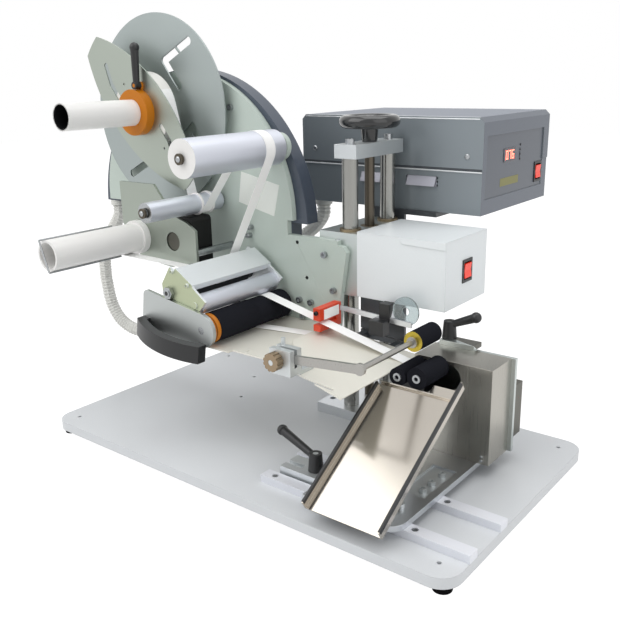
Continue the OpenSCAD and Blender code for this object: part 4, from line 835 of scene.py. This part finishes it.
@dataclass
class ControlBox:
    """Control box with its recessed panel, display, lamps and rocker."""

    right: float = 177.0
    sink: float = 4.0
    window_rise: float = 2.1
    window_y: tuple[float, float] = (300.0, 352.0)
    window_low: float = 400.0
    digit_high: float = 14.0
    digit_wide: float = 8.0
    digit_stroke: float = 1.5
    digit_pitch: float = 11.0
    digit_foot: tuple[float, float] = (313.0, 408.0)
    digit_sink: tuple[float, float] = (1.05, 0.85)
    digits: str = "076"
    lamp_y: float = 369.0
    lamp_sink: float = 2.2
    lamp_heights: tuple[float, ...] = (404.5, 412.5, 420.0, 428.0)
    lens_profile: Pairs = ((2.0, 0.0), (2.0, 0.9), (1.5, 1.3), (0.01, 1.4))
    front: float = 231.0
    cover_screws: Pairs = ((-149.0, 421.0), (150.0, 419.0))
    dome_profile: Pairs = ((4.5, 0.0), (4.5, 0.8), (3.2, 1.8), (0.01, 2.2))
    bar: Pairs = ((297.0, 366.0), (366.0, 379.0))
    bar_sink: tuple[float, float] = (2.05, 1.8)
    lid_side: float = 0.6
    seam: float = 397.0
    seam_ends: tuple[float, float] = (2.0, 1.0)
    seam_lip: Pairs = ((-2.6, -2.6), (-0.05, -0.4))
    seam_gap: Pairs = ((-1.4, -0.4), (-0.6, 3.6))
    hood_places: Pairs = ((42.1, 96.8), (-49.7, -8.7))
    hood_low: float = 369.5
    hood_high: float = 385.5
    hood_out: float = 6.5
    hood_sheet: float = 1.2
    lid_top: float = 479.0
    edge_r: float = 4.0
    edge_proud: float = 0.35
    edge_inset: float = 8.0
    edge_steps: int = 6
    lines: ClassVar[dict[str, str]] = {"0": "abcdef", "7": "abc", "6": "acdefg"}

    def build(self) -> None:
        """Dress the shells and panel and light the display."""
        # The side faces take a darker copy of the coat as painted shade, and the lid's top a deeper bluish
        # copy as painted reflection
        dress("control_shell", CONTROL_ENAMEL, (CONTROL_SIDE_SHADE, lambda c, n: n.x > SQUARE_ON))
        dress("control_lid", CONTROL_ENAMEL, (CONTROL_SIDE_SHADE, lambda c, n: n.x > self.lid_side),
              (CONTROL_LID_REFLECTION, lambda c, n: n.z > SQUARE_ON))
        dress("control_panel", PANEL_FILM, (WINDOW_FILM, lambda c, n: n.x > SQUARE_ON and self.in_window(c)))
        dress("cable_conduit", CONDUIT)
        dress("conduit_glands", CONDUIT)
        dress("switch_bezels", NYLON_BLACK_AND_SHADE)
        dress("housing_rocker", SWITCH_RED)
        dress("control_rocker", SWITCH_RED)
        self.display()
        turned_set("lid_screws", [spot(x, self.front - 1.0, z) for x, z in self.cover_screws],
                   self.dome_profile, 24, BOLT_STEEL)
        self.plain_bar()
        self.hoods()
        self.seam_line()
        self.rolled_edge()

    def in_window(self, c: Vector) -> bool:
        """Tell whether a face of the panel is the front of the display's window."""
        low, high = self.window_y
        return c.x > self.right - self.sink + self.window_rise and low < c.y < high and c.z > self.window_low

    def segments(self, y: float, z: float) -> dict[str, tuple[Vector, Vector]]:
        """Lay out one digit of the display.

        Args:
            y: Near side of the digit, in mm.
            z: Foot of the digit, in mm.

        Returns:
            Two corners of each segment's box, by the segment's letter.
        """
        w, h, t = self.digit_wide, self.digit_high, self.digit_stroke
        back, face = (self.right - deep for deep in self.digit_sink)
        flat = {"a": (y, z + h - t, y + w, z + h), "g": (y, z + (h - t) / 2, y + w, z + (h + t) / 2),
                "d": (y, z, y + w, z + t), "b": (y + w - t, z + h / 2, y + w, z + h),
                "c": (y + w - t, z, y + w, z + h / 2), "e": (y, z, y + t, z + h / 2),
                "f": (y, z + h / 2, y + t, z + h)}
        return {k: (spot(back, a, b), spot(face, c, d)) for k, (a, b, c, d) in flat.items()}

    def display(self) -> None:
        """Light the three digits and set the unlit lamps beside them."""
        mesh = bmesh.new()
        y, z = self.digit_foot
        for i, digit in enumerate(self.digits):
            boxes = self.segments(y + self.digit_pitch * i, z)
            for letter in self.lines[digit]:
                add_box(mesh, *boxes[letter])
        shown("display_digits", mesh, "head", SEGMENT)
        lamps = [spot(self.right - self.lamp_sink, self.lamp_y, z) for z in self.lamp_heights]
        turned_set("panel_lamps", lamps, self.lens_profile, 20, LAMP_OFF,
                   axis=Vector((1, 0, 0)))

    def plain_bar(self) -> None:
        """Print the plain olive bar across the panel, under the display."""
        mesh = bmesh.new()
        add_box(mesh, *(spot(self.right - deep, *corner) for deep, corner in zip(self.bar_sink, self.bar)))
        shown("panel_blank_bar", mesh, "head", BAR_INK)

    def hoods(self) -> None:
        """Press a slanted hood over each row of slots, open at its lower edge, coloured paler as painted
        light from above.
        """
        mesh = bmesh.new()
        sheet, root, lip = self.hood_sheet, self.front - 0.1, self.front - self.hood_out
        face = ((root, self.hood_high), (lip, self.hood_low), (lip + sheet, self.hood_low),
                (root, self.hood_high - 2 * sheet))
        cheek = ((root, self.hood_high), (lip, self.hood_low), (root, self.hood_low))
        for left, right in self.hood_places:
            for section, start, end in ((face, left, right), (cheek, left, left + sheet),
                                        (cheek, right, right - sheet)):
                add_prism(mesh, *([spot(x, y, z) for y, z in section] for x in (start, end)))
        shown("louver_hoods", mesh, "head", HOOD_LIT_ENAMEL)

    def seam_line(self) -> None:
        """Fold the lower shell's rim outward below the lid, pale with a painted highlight, with a dark strip
        of painted shade in the seam over it.
        """
        for name, (low, high), bevel, finish in (("seam_lip", self.seam_lip, 0.5, EDGE_HIGHLIGHT_ENAMEL),
                                                 ("seam_shade", self.seam_gap, 0.3, SEAM_SHADE)):
            mesh = bmesh.new()
            add_box(mesh, spot(self.seam_ends[0] - self.right, self.front + low[0], self.seam + low[1]),
                    spot(self.right - self.seam_ends[1], self.front + high[0], self.seam + high[1]), bevel)
            shown(name, mesh, "head", finish)

    def rolled_edge(self) -> None:
        """Round the lid's upper front edge, whose pale colour is a painted highlight along its length."""
        mesh = bmesh.new()
        r, y, z, proud = self.edge_r, self.front - 1.0, self.lid_top, self.edge_proud
        section = [(y - proud + r * (1 - math.cos(a)), z + proud - r * (1 - math.sin(a)))
                   for a in (math.pi / 2 * k / self.edge_steps for k in range(self.edge_steps + 1))]
        section += [(y + r, z - r)]
        add_prism(mesh, *([spot(x, b, c) for b, c in section]
                          for x in (self.edge_inset - self.right, self.right - self.edge_inset)))
        shown("lid_rolled_edge", mesh, "head", EDGE_HIGHLIGHT_ENAMEL)


@dataclass
class Unwinder:
    """Tube, discs, collar and label roll."""

    bore_r: float = 20.6
    bore_back: float = -30.0
    bridge_at: tuple[float, float] = (57.2, 99.2)
    bridge_turn: float = 135.0
    bridge_half: tuple[float, float] = (9.0, 1.8)
    bridge_faces: tuple[float, float] = (52.2, 54.8)

    def build(self) -> None:
        """Dress the unwinder."""
        dress("unwind_tube", ACETAL, (NYLON_BLACK_AND_SHADE, lambda c, n: self.in_bore(c)))
        dress("rear_disc", DISC_METAL)
        dress("front_flange", FLANGE_METAL)
        dress("clamp_collar", COLLAR_ORANGE)
        dress("label_roll", ROLL_PAPER)
        dress("collar_lever", NYLON_BLACK_AND_SHADE)
        self.bridge()

    def in_bore(self, c: Vector) -> bool:
        """Tell whether a face lies within the tube's bore."""
        return c.y < self.bore_back and Axis.UNWINDER.off(c) < self.bore_r

    def bridge(self) -> None:
        """Leave the narrow bridge that crosses the rear disc's upper slot."""
        mesh = bmesh.new()
        a = math.radians(self.bridge_turn)
        along, across = Vector((math.cos(a), 0, math.sin(a))), Vector((-math.sin(a), 0, math.cos(a)))
        x, z = (middle + away for middle, away in zip(Axis.UNWINDER.value, self.bridge_at))
        long, wide = self.bridge_half
        for y in self.bridge_faces:
            for u, w in ((-1, -1), (1, -1), (1, 1), (-1, 1)):
                mesh.verts.new(spot(x, y, z) + (along * u * long + across * w * wide) * MM)
        bmesh.ops.convex_hull(mesh, input=mesh.verts)
        shown("disc_bridge", mesh, "unwinder", DISC_METAL)


@dataclass
class Rollers:
    """Web rollers, press frame and rewinder."""

    drive_r: float = 22.5
    ring_front: float = -103.0
    ring_profile: Pairs = ((-6.0, 0.0), (0.0, 0.4), (0.15, 1.0), (0.15, 8.2), (-6.0, 9.0))
    orange_front: float = -111.5
    sleeve_spans: Pairs = ((-102.8, -17.5), (37.5, 60.0))
    sleeve_deep: float = 3.0
    sleeve_rim: float = 0.5
    sleeve_proud: float = 0.85
    sleeve_chamfer: float = 0.4
    idler_ring_front: float = 8.0
    idler_ring_r: float = 16.4
    top_nut_front: float = -139.3
    idler_nut_front: float = -104.3
    dome_profile: Pairs = ((4.4, 0.0), (4.2, 1.0), (2.8, 1.8), (0.01, 2.1))
    press_axle_front: float = -125.5
    socket_profile: Pairs = ((3.8, 0.0), (3.8, 0.15), (0.01, 0.15))
    shade_strip_low: Place = (-138.0, -112.4, 222.0)
    shade_strip_high: Place = (-136.4, 27.6, 233.0)
    zinc_front: float = -113.0
    slot_span: tuple[float, float] = (-112.9, 28.0)
    slot_r: float = 14.3
    slot_side: float = 0.5
    slot_under: float = -0.6
    clip_r: float = 25.05
    clip_back: float = -40.0
    clip_front: float = -205.5

    def build(self) -> None:
        """Dress the rollers."""
        dress("top_roller", ROLLER_SKIN, (ACETAL, lambda c, n: abs(n.y) > SQUARE_ON))
        dress("small_idler", ROLLER_SKIN, (ACETAL, lambda c, n: self.guide_ring(c)),
              (BOLT_STEEL, lambda c, n: n.y < -SQUARE_ON))
        dress("press_frame", PRESS_METAL,
              (ZINC_TINT, lambda c, n: c.y < self.zinc_front and n.y < -SQUARE_ON),
              (SLOT_SHADE, self.in_slot))
        dress("press_roller", ROLLER_SKIN)
        dress("drive_roller", DRIVE_RUBBER, (COLLAR_ORANGE, lambda c, n: c.y < self.orange_front))
        dress("rewind_spool", ACETAL, (BOLT_STEEL, lambda c, n: self.clip(c)))
        dress("pressure_arm", ROD_STEEL)
        dress("pressure_roller", DRIVE_RUBBER, (BRASS, lambda c, n: n.y < -SQUARE_ON))
        dress("tension_knob", KNOB_STEEL)
        self.orange_ring()
        self.sleeves()
        self.shade_strip()
        self.axle_ends()

    def orange_ring(self) -> None:
        """Slip the orange ring over the rubber roller's front end."""
        mesh = bmesh.new()
        add_lathe(mesh, [(self.drive_r + out, height) for out, height in self.ring_profile],
                  Axis.DRIVE_ROLLER.at(self.ring_front), TO_FRONT, 64, bored=True)
        shown("drive_roller_ring", mesh, "drive_roll", COLLAR_ORANGE, smooth=True)

    def sleeves(self) -> None:
        """Thicken the rubber on both sides of the web, so that no light passes the nip."""
        mesh = bmesh.new()
        bore, rim = self.drive_r - self.sleeve_deep, self.drive_r + self.sleeve_rim
        proud, chamfer = self.drive_r + self.sleeve_proud, self.sleeve_chamfer
        for front, back in self.sleeve_spans:
            long = back - front
            add_lathe(mesh, [(bore, 0.0), (rim, 0.0), (proud, chamfer), (proud, long - chamfer),
                             (rim, long), (bore, long)],
                      Axis.DRIVE_ROLLER.at(front), TO_BACK, 96, bored=True)
        shown("drive_rubber_sleeves", mesh, "drive_roll", DRIVE_RUBBER, smooth=True)

    def shade_strip(self) -> None:
        """Put a dark strip between the press frame's sides, behind the slot over its roller, as painted
        shade in the slot.
        """
        mesh = bmesh.new()
        add_box(mesh, spot(*self.shade_strip_low), spot(*self.shade_strip_high))
        shown("press_frame_shade_strip", mesh, "press", SLOT_SHADE)

    def axle_ends(self) -> None:
        """Set a bright screw head in each roller's axle nut, darkened as painted shade, and a socket, a
        black hexagon of painted shade, in the press frame's axle.
        """
        nuts = [Axis.TOP_ROLLER.at(self.top_nut_front), Axis.SMALL_IDLER.at(self.idler_nut_front)]
        turned_set("axle_end_screws", nuts, self.dome_profile, 28, BOLT_STEEL)
        # The press axle's socket is a flat black hexagon, painted shade standing in for its recess
        turned_set("press_axle_socket", [Axis.PRESS_ROLLER.at(self.press_axle_front)],
                   self.socket_profile, 6, NYLON_BLACK_AND_SHADE)

    def guide_ring(self, c: Vector) -> bool:
        """Tell whether a face belongs to the idler's white guide rings."""
        return c.y > self.idler_ring_front and Axis.SMALL_IDLER.off(c) > self.idler_ring_r

    def in_slot(self, c: Vector, n: Vector) -> bool:
        """Tell whether a press frame face lies in the shade between bar and roller."""
        inner = self.slot_span[0] < c.y < self.slot_span[1] and abs(n.y) < self.slot_side
        return inner and (n.z < self.slot_under or Axis.PRESS_ROLLER.off(c) < self.slot_r)

    def clip(self, c: Vector) -> bool:
        """Tell whether a face belongs to the wire clip of the rewinder tube."""
        return Axis.REWINDER.off(c) > self.clip_r and c.y < self.clip_back or c.y < self.clip_front


@dataclass
class Carriage:
    """Bottle carriage: plate, chute, cover, rollers and clamp levers."""

    chute_foot: Place = (166.0, -214.0, 32.0)
    slope: float = 32.6
    chute_wide: float = 117.0
    sheet: float = 2
    wall_lengths: tuple[float, float] = (207.0 * 0.974, 207.0 * 1.121)
    trim_short: float = 1.5
    trim_out: float = 0.9
    trim_round: float = 0.3
    trim_deep: float = 4.0
    bed_end: float = 207.0
    lip_left: float = 240.0
    lip_along: tuple[float, float] = (-1.0, 18.0)
    lip_up: tuple[float, float] = (-13.9, -12.1)
    lip_gap: float = 0.1
    lip_bevel: float = 0.3
    gear_plate_back: float = 97.5
    roller_ends: Pairs = ((-30.2, 30.8), (-30.2, 28.2))
    inner_shade_sheet: Pairs = ((182.6, 183.6), (33.0, 90.9), (88.0, 158.0))
    under_shade_sheet: Pairs = ((168.4, 216.0), (-0.5, 30.8), (117.0, 118.5))
    under_shade_sheet_lip: Pairs = ((168.4, 216.0), (-2.0, -0.5), (117.0, 131.2))
    rivet_x: float = 291.0
    rivet_heights: tuple[float, float] = (30.4, 24.3)
    rivet_front: float = 31.0
    rivet_profile: Pairs = ((2.4, 0.0), (2.2, 0.7), (1.2, 1.2), (0.01, 1.3))
    cover_x: tuple[float, float] = (182.2, 300.8)
    cover_front: float = 32.2
    cover_top: float = 159.8

    def build(self) -> None:
        """Dress the carriage."""
        dress("carriage_plate", ANODISED)
        dress("carriage_blocks", ANODISED_Y)
        dress("chute", CHUTE_STEEL)
        # The inside of the roller cover is painted black, as painted shade where little light gets in
        dress("roller_cover", COVER_STEEL, (NYLON_BLACK_AND_SHADE, lambda c, n: self.within(c)))
        dress("gear_unit", PLATE_METAL, (GEAR_PLATE, lambda c, n: c.y > self.gear_plate_back))
        for node, (front, back) in zip(("bottle_roller", "idle_roller"), self.roller_ends):
            dress(node, DRIVE_RUBBER, (BOLT_STEEL, lambda c, n: c.y < front or c.y > back))
        dress("carriage_lever", NYLON_BLACK_AND_SHADE)
        dress("stop_lever", NYLON_BLACK_AND_SHADE)
        self.edge_trim()
        turned_set("cover_rivets", [spot(self.rivet_x, self.rivet_front, z) for z in self.rivet_heights],
                   self.rivet_profile, 20, BOLT_STEEL, "carriage")
        self.upper_lip()
        # The black sheets inside the roller cover and under the rollers are painted shade
        self.shade_sheet("cover_inner_shade_sheet", 0.3, self.inner_shade_sheet)
        self.shade_sheet("roller_under_shade_sheet", 0.0, self.under_shade_sheet, self.under_shade_sheet_lip)

    def on_chute(self, x: float, along: float, up: float) -> Vector:
        """Return the place of a point given in the tilted chute's own frame."""
        a = math.radians(self.slope)
        return spot(self.chute_foot[0] + x, self.chute_foot[1] + along * math.cos(a) - up * math.sin(a),
                    self.chute_foot[2] + along * math.sin(a) + up * math.cos(a))

    def edge_trim(self) -> None:
        """Clip a black edge strip over the top of each chute wall."""
        mesh = bmesh.new()
        out, r = self.trim_out, self.trim_round
        for x, length in zip((0.0, self.chute_wide - self.sheet), self.wall_lengths):
            far = x + self.sheet
            section = ((x - out, -self.trim_deep), (x - out, r), (x - r, out),
                       (far + r, out), (far + out, r), (far + out, -self.trim_deep))
            add_prism(mesh, *([self.on_chute(u, along, w) for u, w in section]
                              for along in (self.trim_short, length - self.trim_short)))
        shown("chute_edge_trim", mesh, "carriage", NYLON_BLACK_AND_SHADE)

    def upper_lip(self) -> None:
        """Carry the chute's bed on past the end of the driven roller, beside it."""
        mesh = bmesh.new()
        left, right = self.lip_left - self.chute_foot[0], self.chute_wide - self.sheet - self.lip_gap
        low, high = self.lip_up
        for along in self.lip_along:
            for x, up in ((left, low), (right, low), (right, high), (left, high)):
                mesh.verts.new(self.on_chute(x, self.bed_end + along, up))
        bmesh.ops.convex_hull(mesh, input=mesh.verts)
        bmesh.ops.bevel(mesh, geom=mesh.edges[:], offset=self.lip_bevel * MM, segments=2, profile=0.5,
                        affect="EDGES")
        shown("chute_upper_lip", mesh, "carriage", CHUTE_STEEL)

    def shade_sheet(self, name: str, bevel: float, *boxes: Pairs) -> None:
        """Cover what lies behind or under the rollers with black sheet, as painted shade.

        Args:
            name: Piece name.
            bevel: Radius of the edges, in mm.
            boxes: Ends along x, y and z of each flat part, in mm.
        """
        mesh = bmesh.new()
        for box in boxes:
            low, high = zip(*box)
            add_box(mesh, spot(*low), spot(*high), bevel)
        shown(name, mesh, "carriage", NYLON_BLACK_AND_SHADE)

    def within(self, c: Vector) -> bool:
        """Tell whether a face is on the inside of the roller cover, which is painted black as shade."""
        return self.cover_x[0] < c.x < self.cover_x[1] and self.cover_front < c.y and c.z < self.cover_top


def main() -> None:
    """Build the studio and every sub-assembly, and log each."""
    logging.basicConfig(level=logging.INFO, format="%(name)s: %(message)s")
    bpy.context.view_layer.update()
    for part in (Studio(), Base(), Lift(), Head(), Feed(), ControlBox(), Unwinder(), Rollers(), Carriage()):
        part.build()
        LOG.info("finished %s", type(part).__name__)
    for name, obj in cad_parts.items():
        if not obj.data.materials or obj.data.materials[0] is None:
            LOG.warning("no finish on %s", name)


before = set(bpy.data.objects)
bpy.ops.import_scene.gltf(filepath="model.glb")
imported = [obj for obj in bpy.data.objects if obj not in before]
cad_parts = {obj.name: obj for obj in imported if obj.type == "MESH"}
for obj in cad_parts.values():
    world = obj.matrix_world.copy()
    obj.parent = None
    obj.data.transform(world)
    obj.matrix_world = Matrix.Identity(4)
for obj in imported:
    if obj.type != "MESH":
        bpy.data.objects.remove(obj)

if __name__ == "__main__":
    main()
